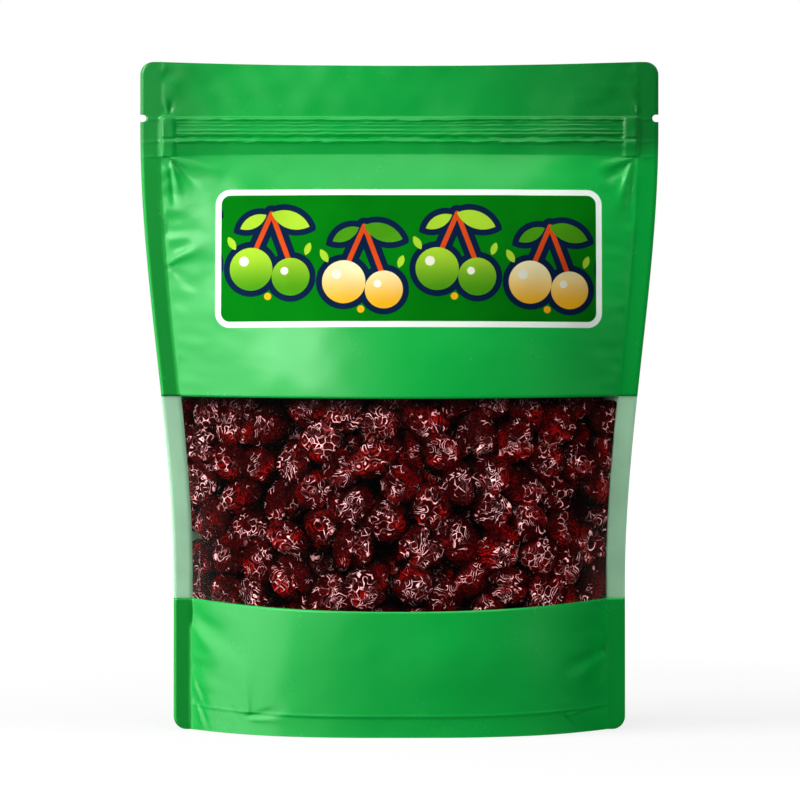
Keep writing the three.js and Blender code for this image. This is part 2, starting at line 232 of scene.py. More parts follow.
class Bag:
    """Outer form of the filled pouch. A side is -1 for the front and 1 for the back."""

    TAPER = (45 * MM, 185 * MM)
    TUCK_HEIGHT = 25 * MM
    SHOULDER_POWER = 3.2
    ROUNDNESS = (3, 2.1)

    SEAM_STEP = 0.2 * MM
    SEAM_LINE = 0.26 * MM
    SEAM_SOFTNESS = 0.35 * MM
    SEAM_RISE = 1.3 * MM

    ZIP_SEED = 21
    ZIP_STAND = 0.95 * MM
    ZIP_FLANGE = 4.3 * MM
    ZIP_END = 4.2 * MM
    STAMP_STAND = 0.45 * MM
    STAMP_GAP = 182.2 * MM
    PRESSED_STAND = 0.14 * MM

    # Rows of the zip: height, half width, and how far each stands out.
    ZIP_LINES = (
        (188.25 * MM, 0.42 * MM, 0.55 * MM),
        (187.2 * MM, 0.22 * MM, 0.24 * MM),
        (186.2 * MM, 0.22 * MM, 0.2 * MM),
        (184.7 * MM, 0.26 * MM, 0.2 * MM),
        (183.6 * MM, 0.24 * MM, 0.24 * MM),
        (182.55 * MM, 0.34 * MM, -0.5 * MM),
        (181.3 * MM, 0.46 * MM, 0.62 * MM),
    )

    def __init__(self, scene):
        self.size = scene.pouch_sizes
        self.window = scene.window_sizes

    def half_width(self, z):
        """Half the pouch's width: narrow at the base, and wider where the filling ends."""
        size = self.size
        return mix(size.base_width / 2, size.top_width / 2, smooth(*self.TAPER, z))

    def outer_edge(self, z):
        """x of the pouch's edge, with its round corners."""
        corner = self.size.corner
        rise = np.clip(corner - np.minimum(z, self.size.height - z), 0, corner)
        return self.half_width(z) - corner + np.sqrt(corner**2 - rise**2)

    def inner_edge(self, z):
        """x where a side seal ends and the bag begins."""
        size = self.size
        return self.half_width(z) - mix(size.seal_base, size.seal_top, z / size.height)

    def share_at(self, x, z):
        """Share of the way from the middle to a seal's inner edge."""
        return x / self.inner_edge(z)

    def swell(self, part, z):
        """How far the filling pushes a film out."""
        size = self.size
        tuck = size.base_tuck * (1 - smooth(0, self.TUCK_HEIGHT, z))
        up = np.clip(z / size.shoulder, 0, 1)
        middle = size.belly * (1 - up**self.SHOULDER_POWER) - tuck * (up < 1)
        power = mix(*self.ROUNDNESS, smooth(0, size.height / 2, z))
        return np.maximum(0, middle * (1 - np.minimum(1, np.abs(part)) ** power))

    def zip_relief(self, part, z):
        """The zip's flange and rows, with a stamped block at each end."""
        size = self.size
        inside = self.inner_edge(z) * (1 - np.abs(part))
        edge = 0.25 * MM
        band = smooth(size.zip_low - edge, size.zip_low + edge, z)
        band *= 1 - smooth(size.zip_high - edge, size.zip_high + edge, z)
        rng = np.random.default_rng(self.ZIP_SEED)
        along = np.stack([part * size.top_width / 2, 4 * z], -1)
        drift = 0.12 * MM * waves(along, 60 * MM, rng) + 0.05 * MM * waves(along, 9 * MM, rng)
        uneven = 1 + 0.25 * waves(along, 25 * MM, rng) + 0.25 * waves(along, 5 * MM, rng)
        lines = sum(stand * bump(z + drift - at, half) for at, half, stand in self.ZIP_LINES)
        lines *= np.clip(uneven, 0.3, 1.7) * smooth(self.ZIP_END, self.ZIP_END + 1.5 * MM, inside)
        stamp = smooth(0.2 * MM, 0.6 * MM, inside) * (1 - smooth(0, 0.5 * MM, inside - self.ZIP_END))
        block = self.STAMP_STAND * stamp * (1 - bump(z - self.STAMP_GAP, 0.4 * MM))
        flange_top = size.zip_low + self.ZIP_FLANGE
        flange = mix(0.1, 1, np.clip((z - size.zip_low) / self.ZIP_FLANGE, 0, 1))
        top = np.clip((z - flange_top) / (size.zip_high - flange_top), 0, 1)
        stand = flange * mix(1, 0.35, top) * self.ZIP_STAND * smooth(0, 1 * MM, inside)
        return band * (stand + block) + lines * (inside > 0)

    def pressed_lines(self, part, z):
        """The zip's edges go on across most of each seal."""
        beyond = np.abs(part) - 1
        reach = (beyond > 0) * (1 - smooth(0.5, 0.9, beyond))
        edges = (self.ZIP_LINES[0][0], self.ZIP_LINES[-1][0], self.size.zip_low)
        return self.PRESSED_STAND * reach * sum(bump(z - at, 0.5 * MM) for at in edges)

    def seam_relief(self, part, z):
        """The bottom weld: thinner than the bag above it, with a pressed ridge between them."""
        soft = self.SEAM_SOFTNESS
        height = self.size.seam + self.SEAM_RISE * np.abs(part) ** 3
        step = self.SEAM_STEP * (1 - smooth(height - soft, height + soft, z))
        line = self.SEAM_LINE * bump(z - height, soft)
        return (line - step) * (np.abs(part) < 1)

    def depth(self, part, z):
        """Distance of a panel's outside from the plane of the seals."""
        bag = np.maximum(self.swell(part, z), 0)
        zipped = self.zip_relief(part, z)
        full = np.maximum(bag + self.seam_relief(part, z), zipped)
        return self.size.fin / 2 + np.maximum(0, full) * (np.abs(part) < 1)

    def window_low(self, part):
        """Height of the window's lower edge."""
        return self.window.low - self.window.low_dip * (1 - np.minimum(1, part**2))

    def window_high(self, part):
        """Height of the window's upper edge."""
        return self.window.high - self.window.high_dip * (1 - np.minimum(1, part**2))


# Folds of the front film, in millimetres from the middle and up from the floor: where each starts and
# ends, its width there, and how far it stands out. A fold fades out towards its end.
FRONT_FOLDS = (
    ((-66, 38), (-44, 21), (2.5, 5.5), -1.15),
    ((-63, 31), (-46, 17), (2.0, 5.0), 0.61),
    ((-63.6, 14.9), (-60.4, 8.2), (0.5, 0.9), 0.47),
    ((-62.4, 14.0), (-58.8, 7.0), (0.6, 0.8), -0.34),
    ((-62.4, 7.4), (-59.8, 0.2), (0.4, 0.6), 0.38),
    ((-61.2, 7.4), (-58.2, 0.2), (0.4, 0.6), -0.34),
    ((-46, 5.8), (-33, 8.2), (0.6, 2.2), -0.42),
    ((-45, 4.6), (-33, 5.3), (0.6, 1.6), 0.41),
    ((-46, 6.6), (-47.5, 24), (0.7, 3.0), 0.47),
    ((-51, 8), (-47, 1.5), (0.6, 0.8), -0.27),
    ((64.3, 25), (48, 18.6), (0.7, 3.0), -1.01),
    ((63, 22), (50, 14), (0.9, 3.5), 0.61),
    ((63.5, 27.5), (57, 40), (0.8, 3.2), -0.47),
    ((50.2, 5.4), (54.2, 0.2), (0.4, 0.6), -0.47),
    ((51.2, 5.6), (63.6, 8.2), (0.4, 0.5), 0.24),
    ((62.6, 26), (59.4, 1), (2.4, 3.2), -1.1),
    ((-71.2, 144), (-58, 150), (0.5, 3.0), 0.72),
    ((-71.2, 143), (-60, 134), (0.5, 3.0), -0.56),
    ((-70.2, 176.2), (-54, 170.6), (0.5, 2.2), 0.80),
    ((-70.2, 175.5), (-61, 166.5), (0.5, 1.8), -0.72),
    ((-70.2, 175.0), (-67.4, 163), (0.5, 1.6), 0.64),
    ((-70.6, 172), (-69.2, 160), (0.5, 1.2), -0.48),
    ((71.4, 175.2), (62.5, 168.5), (0.5, 2.0), -0.80),
    ((71.2, 175.8), (58, 172.4), (0.5, 2.2), 0.64),
    ((71.4, 174.6), (67.5, 160), (0.5, 2.0), 0.72),
    ((71.8, 171), (70.6, 158), (0.5, 1.2), -0.56),
    ((-71.2, 190.0), (-72.4, 194.6), (0.4, 0.8), 0.40),
    ((-71.2, 190.0), (-70.0, 195.0), (0.4, 1.2), -0.40),
    ((73.4, 190.2), (74.2, 194.0), (0.4, 0.8), 0.40),
)

# Broad leans of the film: place, size across and up, and how far it stands out, all in millimetres.
FRONT_SWELLS = (
    ((-20, 196), (22, 9), 0.35),
    ((30, 199), (18, 8), -0.3),
    ((-52, 198), (12, 10), -0.3),
    ((58, 196), (14, 8), 0.3),
    ((-40, 168), (12, 7), 0.4),
    ((36, 168), (16, 6), 0.35),
    ((8, 118), (30, 12), 0.2),
    ((44, 116), (14, 11), -0.3),
    ((-62, 120), (8, 20), 0.35),
    ((20, 24), (26, 10), 0.3),
    ((-18, 20), (14, 9), -0.25),
)

# Draws of the unevenness: the front's films, the back film, and the leans that both share above the
# filling.
FRONT_SEED = 5
BACK_SEED = 3
LEAN_SEED = 11

# The least that a film stands out from the middle plane of the seals.
LEAST_STAND = 0.25 * MM


def fold_relief(x, z, folds):
    """How far the film stands out because of the folds."""
    total = np.zeros_like(x)
    for (x0, z0), (x1, z1), (w0, w1), stand in folds:
        run = np.array([x1 - x0, z1 - z0]) * MM
        reach = float(np.hypot(*run))
        along = ((x - x0 * MM) * run[0] + (z - z0 * MM) * run[1]) / reach**2
        aside = ((z - z0 * MM) * run[0] - (x - x0 * MM) * run[1]) / reach
        width = mix(w0, w1, np.clip(along, 0, 1)) * MM
        fade = smooth(-0.12, 0.04, along) * (1 - smooth(0.35, 1.05, along))
        total += stand * MM * fade * bump(aside, width)
    return total


def swell_relief(x, z, swells):
    """How far the film stands out because of its broad leans."""
    total = np.zeros_like(x)
    for (x0, z0), (across, up), stand in swells:
        total += stand * MM * bump((x - x0 * MM) / across, MM) * bump((z - z0 * MM) / up, MM)
    return total


def film_relief(x, z, part, rng, folded):
    """Unevenness of a panel: soft waves, calmer below the label, and puckers beside its seals."""
    pucker_stand, pucker_reach = 0.15 * MM, 0.13
    flat = np.stack([x, z], -1)
    inside = 1 - np.minimum(1, np.abs(part))
    soft = 0.16 * MM * waves(flat, 30 * MM, rng) + 0.05 * MM * waves(flat, 11 * MM, rng)
    soft *= mix(0.5, 1, smooth(118 * MM, 145 * MM, z))
    relief = soft * smooth(0, 0.25, inside)
    puckers = waves(flat * (0.35, 1.0), 8 * MM, rng) + 0.6 * waves(flat * (0.5, 1.0), 4.5 * MM, rng)
    relief += pucker_stand * puckers * smooth(0, 0.02, inside) * np.exp(-inside / pucker_reach)
    if folded:
        relief += fold_relief(x, z, FRONT_FOLDS) + swell_relief(x, z, FRONT_SWELLS)
    return relief


def columns(bag_count, fin_count):
    """Shares across a panel, with the fins beyond -1 and 1, closer together at the seals."""
    turn = np.linspace(-1, 1, bag_count + 1)
    bag = mix(turn, np.sin(turn * math.pi / 2), 0.5)
    fin = np.linspace(0, 1, fin_count + 1)[1:]
    return np.concatenate([-1 - fin[::-1], bag, 1 + fin])


def place_across(bag, part, z):
    """x of a share at a height."""
    inner, outer = bag.inner_edge(z), bag.outer_edge(z)
    beyond = np.clip(np.abs(part) - 1, 0, 1)
    inside = np.clip(part, -1, 1) * inner
    return inside + np.sign(part) * beyond * (outer - inner)


def grid_faces(rows, cols, start, flip):
    """Quads of a grid of points whose first point has the index start."""
    index = np.arange(rows * cols).reshape(rows, cols) + start
    quads = np.stack([index[:-1, :-1], index[:-1, 1:], index[1:, 1:], index[1:, :-1]], -1)
    quads = quads.reshape(-1, 4)
    return quads[:, ::-1] if flip else quads


def rim(rows, cols):
    """Indices round a grid's border, counterclockwise."""
    index = np.arange(rows * cols).reshape(rows, cols)
    return np.concatenate([index[0, :-1], index[:-1, -1], index[-1, :0:-1], index[:0:-1, 0]])


def store(mesh, key, values):
    """Keeps a number for each point of a mesh, for its material."""
    layer = mesh.attributes.new(key, "FLOAT", "POINT")
    layer.data.foreach_set("value", values.astype(np.float32))


def shade_smooth(mesh):
    mesh.polygons.foreach_set("use_smooth", np.ones(len(mesh.polygons), bool))


def corner_rows(radius, count):
    """Heights of rows over a round corner, closer together at its edge."""
    return radius * (1 - np.cos(np.linspace(0, math.pi / 2, count)))


def sheet_mesh(name, outer, inner, flip=False, attributes=()):
    """A closed thin sheet between two grids of points. Its inner side gets the second material."""
    rows, cols = outer.shape[:2]
    count = rows * cols
    points = np.concatenate([outer.reshape(-1, 3), inner.reshape(-1, 3)])
    near = grid_faces(rows, cols, 0, flip)
    far = grid_faces(rows, cols, count, not flip)
    ring = rim(rows, cols)
    after = np.roll(ring, -1)
    wall = np.stack([after, ring, ring + count, after + count], -1)
    if flip:
        wall = wall[:, ::-1]
    mesh = bpy.data.meshes.new(name)
    mesh.from_pydata(points, [], np.concatenate([near, far, wall]))
    slots = np.zeros(len(mesh.polygons), int)
    slots[len(near) : len(near) + len(far)] = 1
    mesh.polygons.foreach_set("material_index", slots)
    shade_smooth(mesh)
    for key, values in attributes:
        store(mesh, key, np.tile(values.reshape(-1), 2))
    mesh.validate()
    mesh.update()
    return mesh


def add_object(name, mesh, materials, nodes):
    """Puts a piece in the scene, riding on the part's one body."""
    for material in materials:
        mesh.materials.append(material)
    piece = bpy.data.objects.new(name, mesh)
    bpy.context.scene.collection.objects.link(piece)
    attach(piece, "root")
    if nodes:
        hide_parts(*nodes)
    return piece


def panel_sheet(name, bag, side, rows, edge_rows, count, seed, film, folded=False):
    """A sheet of film over one side of the bag. edge_rows gives each row's shift at each share."""
    part = columns(count, 5)
    row, part = np.meshgrid(rows, part, indexing="ij")
    z = row + edge_rows(row, part)
    x = place_across(bag, part, z)
    rng = np.random.default_rng(seed)
    relief = film_relief(x, z, part, rng, folded)
    relief = np.maximum(relief, LEAST_STAND - bag.depth(part, z))
    together = smooth(bag.size.zip_low - 6 * MM, bag.size.zip_low + 2 * MM, z)
    lean = film_relief(x, z, part, np.random.default_rng(LEAN_SEED), True) * (np.abs(part) < 1)
    stand = bag.depth(part, z) + mix(relief * (np.abs(part) < 1), -side * lean, together)
    stand += bag.pressed_lines(part, z)
    dip = bag.size.top_dip * (1 - np.minimum(1, part**2))
    height = z - dip * smooth(bag.size.zip_high, bag.size.height, z)
    outer = np.stack([x, side * stand, height], -1)
    inner = outer.copy()
    inner[..., 1] -= side * film
    seal = smooth(0.995, 1.0, np.abs(part))
    return sheet_mesh(name, outer, inner, flip=side > 0, attributes=[("seal", seal)])


def cut_notches(piece, bag):
    """Cuts the tear notches through both side seals."""
    radius = 1.15 * MM
    reach = 1.9 * MM
    edge = bag.size.top_width / 2
    mesh = bpy.data.meshes.new("notch")
    turns = np.linspace(math.pi / 2, 3 * math.pi / 2, 9)
    points, faces = [], []
    for side in (-1, 1):
        outline = [(edge + MM, -radius), (edge + MM, radius)]
        centre = edge - reach + radius
        outline += [(centre + radius * math.cos(t), radius * math.sin(t)) for t in turns]
        if side > 0:
            outline.reverse()
        start, count = len(points), len(outline)
        for y in (-2 * MM, 2 * MM):
            points += [(side * x, y, bag.size.notch_height + z) for x, z in outline]
        faces.append([start + i for i in range(count)][::-1])
        faces.append([start + count + i for i in range(count)])
        for i in range(count):
            j = (i + 1) % count
            faces.append([start + i, start + j, start + count + j, start + count + i])
    mesh.from_pydata(points, [], faces)
    cutter = bpy.data.objects.new("notch", mesh)
    bpy.context.scene.collection.objects.link(cutter)
    cut = piece.modifiers.new("notches", "BOOLEAN")
    cut.object = cutter
    cut.operation = "DIFFERENCE"
    cut.solver = "EXACT"
    depsgraph = bpy.context.evaluated_depsgraph_get()
    finished = bpy.data.meshes.new_from_object(piece.evaluated_get(depsgraph))
    piece.modifiers.clear()
    old = piece.data
    piece.data = finished
    finished.name = piece.name
    bpy.data.meshes.remove(old)
    bpy.data.objects.remove(cutter)
    bpy.data.meshes.remove(mesh)


class NodeMaker:
    """Adds nodes to a tree. A value may be a number, a colour or another node's output."""

    def __init__(self, tree):
        self.tree = tree
        self.places = 0

    def add(self, kind, settings=(), **values):
        node = self.tree.nodes.new(kind)
        self.places += 1
        node.location = (220 * (self.places % 12), -260 * (self.places // 12))
        for key, value in dict(settings).items():
            setattr(node, key, value)
        for key, value in values.items():
            self.feed(node.inputs[key.replace("_", " ")], value)
        return node

    def feed(self, socket, value):
        if isinstance(value, bpy.types.NodeSocket):
            self.tree.links.new(value, socket)
        elif socket.type == "RGBA" and len(value) == 3:
            socket.default_value = (*value, 1)
        else:
            socket.default_value = value

    def times(self, first, *others):
        for other in others:
            first = self.maths("MULTIPLY", first, other)
        return first

    def maths(self, operation, *values, clamp=False):
        node = self.add("ShaderNodeMath", {"operation": operation, "use_clamp": clamp})
        for socket, value in zip(node.inputs, values):
            self.feed(socket, value)
        return node.outputs[0]

    def vector(self, operation, *values):
        node = self.add("ShaderNodeVectorMath", {"operation": operation})
        for socket, value in zip(node.inputs, values):
            self.feed(socket, value)
        return node.outputs["Value" if operation in ("LENGTH", "DOT_PRODUCT") else "Vector"]

    def range(self, value, from_min, from_max, to_min=0.0, to_max=1.0):
        node = self.add("ShaderNodeMapRange", {"interpolation_type": "SMOOTHSTEP"})
        for socket, item in zip(node.inputs, (value, from_min, from_max, to_min, to_max)):
            self.feed(socket, item)
        return node.outputs[0]

    def blend(self, amount, first, second):
        node = self.add("ShaderNodeMix", {"data_type": "RGBA"})
        self.feed(node.inputs["Factor"], amount)
        self.feed(node.inputs[6], first)
        self.feed(node.inputs[7], second)
        return node.outputs[2]

    def noise(self, place, scale, detail=2.0, roughness=0.5):
        node = self.add("ShaderNodeTexNoise", Vector=place, Scale=scale)
        node.inputs["Detail"].default_value = detail
        node.inputs["Roughness"].default_value = roughness
        return node.outputs["Factor" if "Factor" in node.outputs else "Fac"]

    def combine(self, x, y, z):
        return self.add("ShaderNodeCombineXYZ", X=x, Y=y, Z=z).outputs[0]


def new_group(name, inputs, outputs):
    """A node group with number sockets, its maker, and its input and output nodes."""
    tree = bpy.data.node_groups.new(name, "ShaderNodeTree")
    for title, kind in inputs:
        tree.interface.new_socket(name=title, in_out="INPUT", socket_type=kind)
    for title, kind in outputs:
        tree.interface.new_socket(name=title, in_out="OUTPUT", socket_type=kind)
    maker = NodeMaker(tree)
    start = maker.add("NodeGroupInput")
    end = maker.add("NodeGroupOutput")
    return tree, maker, start.outputs, end.inputs


def group_film_grain():
    """Fine crinkle and uneven gloss of thin film."""
    tree, make, given, out = new_group(
        "film_grain",
        [("Position", PLACE), ("Gloss", NUMBER), ("Spread", NUMBER)],
        [("Height", NUMBER), ("Roughness", NUMBER)],
    )
    stretched = make.vector("MULTIPLY", given["Position"], (1.0, 1.0, 0.6))
    soft = make.noise(stretched, 55.0, 2.0)
    fine = make.noise(stretched, 620.0, 3.0, 0.6)
    make.feed(out["Height"], make.maths("MULTIPLY_ADD", fine, 0.16, soft))
    cloudy = make.range(make.noise(given["Position"], 90.0, 3.0), 0.3, 0.7, -0.5, 0.5)
    spread = make.maths("MULTIPLY", cloudy, given["Spread"])
    make.feed(out["Roughness"], make.maths("ADD", given["Gloss"], spread))
    return tree


def group_print_disc():
    """Distance from a printed disc's edge, below nought inside it."""
    tree, make, given, out = new_group(
        "print_disc", [("Place", PLACE), ("Centre", PLACE), ("Radius", NUMBER)], [("Distance", NUMBER)]
    )
    away = make.vector("LENGTH", make.vector("SUBTRACT", given["Place"], given["Centre"]))
    make.feed(out["Distance"], make.maths("SUBTRACT", away, given["Radius"]))
    return tree


def group_print_leaf():
    """Distance from the edge of a printed leaf: the overlap of two discs, turned by an angle."""
    tree, make, given, out = new_group(
        "print_leaf",
        [
            ("Place", PLACE),
            ("Centre", PLACE),
            ("Angle", NUMBER),
            ("Radius", NUMBER),
            ("Offset", NUMBER),
        ],
        [("Distance", NUMBER)],
    )
    local = make.vector("SUBTRACT", given["Place"], given["Centre"])
    turned = make.add("ShaderNodeVectorRotate", {"rotation_type": "Z_AXIS"}, Vector=local)
    make.feed(turned.inputs["Angle"], given["Angle"])
    edges = []
    for sign in (-1.0, 1.0):
        shift = make.combine(0.0, make.maths("MULTIPLY", given["Offset"], sign), 0.0)
        away = make.vector("LENGTH", make.vector("SUBTRACT", turned.outputs[0], shift))
        edges.append(make.maths("SUBTRACT", away, given["Radius"]))
    make.feed(out["Distance"], make.maths("MAXIMUM", *edges))
    return tree


def group_print_bar():
    """Distance from a printed bar with round ends."""
    tree, make, given, out = new_group(
        "print_bar",
        [("Place", PLACE), ("Start", PLACE), ("Run", PLACE), ("Thickness", NUMBER)],
        [("Distance", NUMBER)],
    )
    local = make.vector("SUBTRACT", given["Place"], given["Start"])
    dot = make.vector("DOT_PRODUCT", local, given["Run"])
    square = make.vector("DOT_PRODUCT", given["Run"], given["Run"])
    along = make.maths("DIVIDE", dot, square, clamp=True)
    nearest = make.vector("MULTIPLY", given["Run"], make.combine(along, along, along))
    away = make.vector("LENGTH", make.vector("SUBTRACT", local, nearest))
    make.feed(out["Distance"], make.maths("SUBTRACT", away, given["Thickness"]))
    return tree


def group_print_panel():
    """Distance from the edge of a printed panel with round corners."""
    tree, make, given, out = new_group(
        "print_panel",
        [("Place", PLACE), ("Centre", PLACE), ("Half size", PLACE), ("Corner", NUMBER)],
        [("Distance", NUMBER)],
    )
    local = make.vector("ABSOLUTE", make.vector("SUBTRACT", given["Place"], given["Centre"]))
    corner = make.combine(given["Corner"], given["Corner"], 0.0)
    core = make.vector("SUBTRACT", given["Half size"], corner)
    beyond = make.vector("SUBTRACT", local, core)
    outside = make.vector("LENGTH", make.vector("MAXIMUM", beyond, (0.0, 0.0, 0.0)))
    parts = make.add("ShaderNodeSeparateXYZ", Vector=beyond)
    deepest = make.maths("MAXIMUM", parts.outputs["X"], parts.outputs["Y"])
    inside = make.maths("MINIMUM", deepest, 0.0)
    distance = make.maths("SUBTRACT", make.maths("ADD", outside, inside), given["Corner"])
    make.feed(out["Distance"], distance)
    return tree


def group_wrinkled_skin():
    """Dried fruit skin with painted highlights on thin crests, close on the side that shows and
    scattered beside it.

    In some cells the crests are the cell's borders. In the others they are level lines of a noise.
    """
    tree, make, given, out = new_group(
        "wrinkled_skin",
        [
            ("Position", PLACE),
            ("Tone", NUMBER),
            ("Glow", NUMBER),
            ("Crests", NUMBER),
            ("Shade", NUMBER),
            ("Dark", COLOUR),
            ("Red", COLOUR),
            ("Edge", COLOUR),
            ("Line", COLOUR),
        ],
        [("Color", COLOUR), ("Height", NUMBER), ("Roughness", NUMBER), ("Coat", NUMBER)],
    )
    cell = 2.1 * MM
    drift_reach = 4 * MM
    level_scale = 320.0
    level_step = 0.15
    netted_from = 0.62
    filled_from = 0.96
    position = given["Position"]
    drift = make.add("ShaderNodeTexNoise", Vector=position, Scale=150.0)
    shift = make.vector("SUBTRACT", drift.outputs["Color"], (0.5, 0.5, 0.5))
    place = make.vector("ADD", position, make.vector("MULTIPLY", shift, (drift_reach,) * 3))
    cells = {"Vector": place, "Scale": 1 / cell}
    border = make.add("ShaderNodeTexVoronoi", {"feature": "DISTANCE_TO_EDGE"}, **cells)
    near = border.outputs["Distance"]
    inner = make.add("ShaderNodeTexVoronoi", {"feature": "F1"}, **cells)
    draw = make.add("ShaderNodeSeparateXYZ", Vector=inner.outputs["Color"]).outputs
    netted = make.range(draw["Z"], netted_from, netted_from + 0.02)
    # A few whole cells are painted as highlight facets.
    filled = make.range(draw["Y"], filled_from, filled_from + 0.01)
    filled = make.times(filled, make.range(near, 0.1, 0.25))

    level = make.maths("SUBTRACT", make.noise(place, level_scale, 0.0), 0.5)
    wave = make.maths("COSINE", make.times(level, 2 * math.pi / level_step))
    steep = make.range(make.maths("ABSOLUTE", level), 0.26, 0.32, 1.0, 0.0)
    level_line = make.times(make.range(wave, 0.7, 0.93), steep, make.maths("SUBTRACT", 1.0, netted))
    border_line = make.times(make.range(near, 0.02, 0.055, 1.0, 0.0), netted)
    lines = make.maths("MAXIMUM", border_line, level_line)

    # Painted highlights: on the lines inside the spot that Highlit marks, with a ragged edge and broken
    # along their length, plus a few stray ones outside it.
    ragged = make.noise(position, 260.0, 2.0)
    patch = make.maths("ADD", given["Crests"], make.maths("MULTIPLY_ADD", ragged, 0.8, -0.4))
    broken = make.range(make.noise(position, 380.0, 2.0), 0.46, 0.58, 0.15, 1.0)
    lit = make.maths("MAXIMUM", lines, make.times(filled, 0.7))
    lit = make.times(lit, make.range(patch, 0.32, 0.5), broken)
    stray = make.times(lines, make.range(make.noise(position, 330.0, 1.0), 0.58, 0.63), 0.75)
    pale = make.maths("MAXIMUM", lit, stray)

    # Red tone: random patches, plus the painted glow of light through the skin where Glow marks it. It
    # is lighter on the level lines' crests and darker in their troughs, as painted light and shade.
    patches = make.range(make.noise(position, 170.0, 2.0), 0.45, 0.65)
    red_tone_and_glow = make.times(patches, 0.5, given["Tone"])
    glowing = make.maths("MULTIPLY_ADD", patches, 0.8, 0.15)
    red_tone_and_glow = make.maths("MULTIPLY_ADD", given["Glow"], glowing, red_tone_and_glow)
    red_tone_and_glow = make.times(red_tone_and_glow, make.range(wave, -0.6, 0.9, 0.3, 1.2))
    skin = make.blend(make.maths("MINIMUM", red_tone_and_glow, 1.0), given["Dark"], given["Red"])
    # Painted shade in the troughs between the level lines.
    skin = make.blend(make.range(wave, -0.9, 0.3, 0.7, 0.0), skin, SHADE_BLACK)
    # Painted red halo, then painted highlight, along the lines.
    skin = make.blend(make.maths("MULTIPLY", pale, 2.0, clamp=True), skin, given["Edge"])
    skin = make.blend(make.maths("POWER", pale, 1.5), skin, given["Line"])
    # Painted shade where the Shade attribute says: deep in the heap, under the print's edge and where
    # the cherry turns away.
    shade = make.range(given["Shade"], 0.0, 1.0, 0.0, 0.96)
    make.feed(out["Color"], make.blend(shade, skin, SHADE_BLACK))

    crest = make.range(near, 0.0, 0.13, 1.0, 0.0)
    height = make.maths("MULTIPLY_ADD", make.range(near, 0.0, 0.3), -0.5, crest)
    make.feed(out["Height"], make.maths("MULTIPLY_ADD", level_line, 0.5, height))
    sticky = make.noise(position, 500.0, 2.0, 0.6)
    make.feed(out["Roughness"], make.range(sticky, 0.35, 0.7, 0.12, 0.24))
    make.feed(out["Coat"], make.times(pale, 0.4, make.range(given["Shade"], 0.0, 0.8, 1.0, 0.0)))
    return tree


def use_group(make, build, **values):
    """Places the node group that a function builds. It is built on its first use."""
    name = build.__name__.removeprefix("group_")
    node = make.add("ShaderNodeGroup", {"node_tree": bpy.data.node_groups.get(name) or build()})
    for key, value in values.items():
        make.feed(node.inputs[key.replace("_", " ")], value)
    return node.outputs


def new_material(name):
    material = bpy.data.materials.new(name)
    material.use_nodes = True
    make = NodeMaker(material.node_tree)
    shader = material.node_tree.nodes["Principled BSDF"]
    return material, make, shader


def object_position(make):
    return make.add("ShaderNodeTexCoord").outputs["Object"]


def attribute(make, name):
    return make.add("ShaderNodeAttribute", {"attribute_name": name}).outputs["Fac"]


def add_bump(make, shader, height, distance, strength=1.0):
    node = make.add("ShaderNodeBump", Height=height, Distance=distance, Strength=strength)
    make.feed(shader.inputs["Normal"], node.outputs[0])


def print_mask(make, distance, grow=0.0):
    """1 inside a printed shape that is grown by a length, with a soft printed edge."""
    soft = 0.07 * MM
    return make.range(distance, grow - soft, grow + soft, 1.0, 0.0)


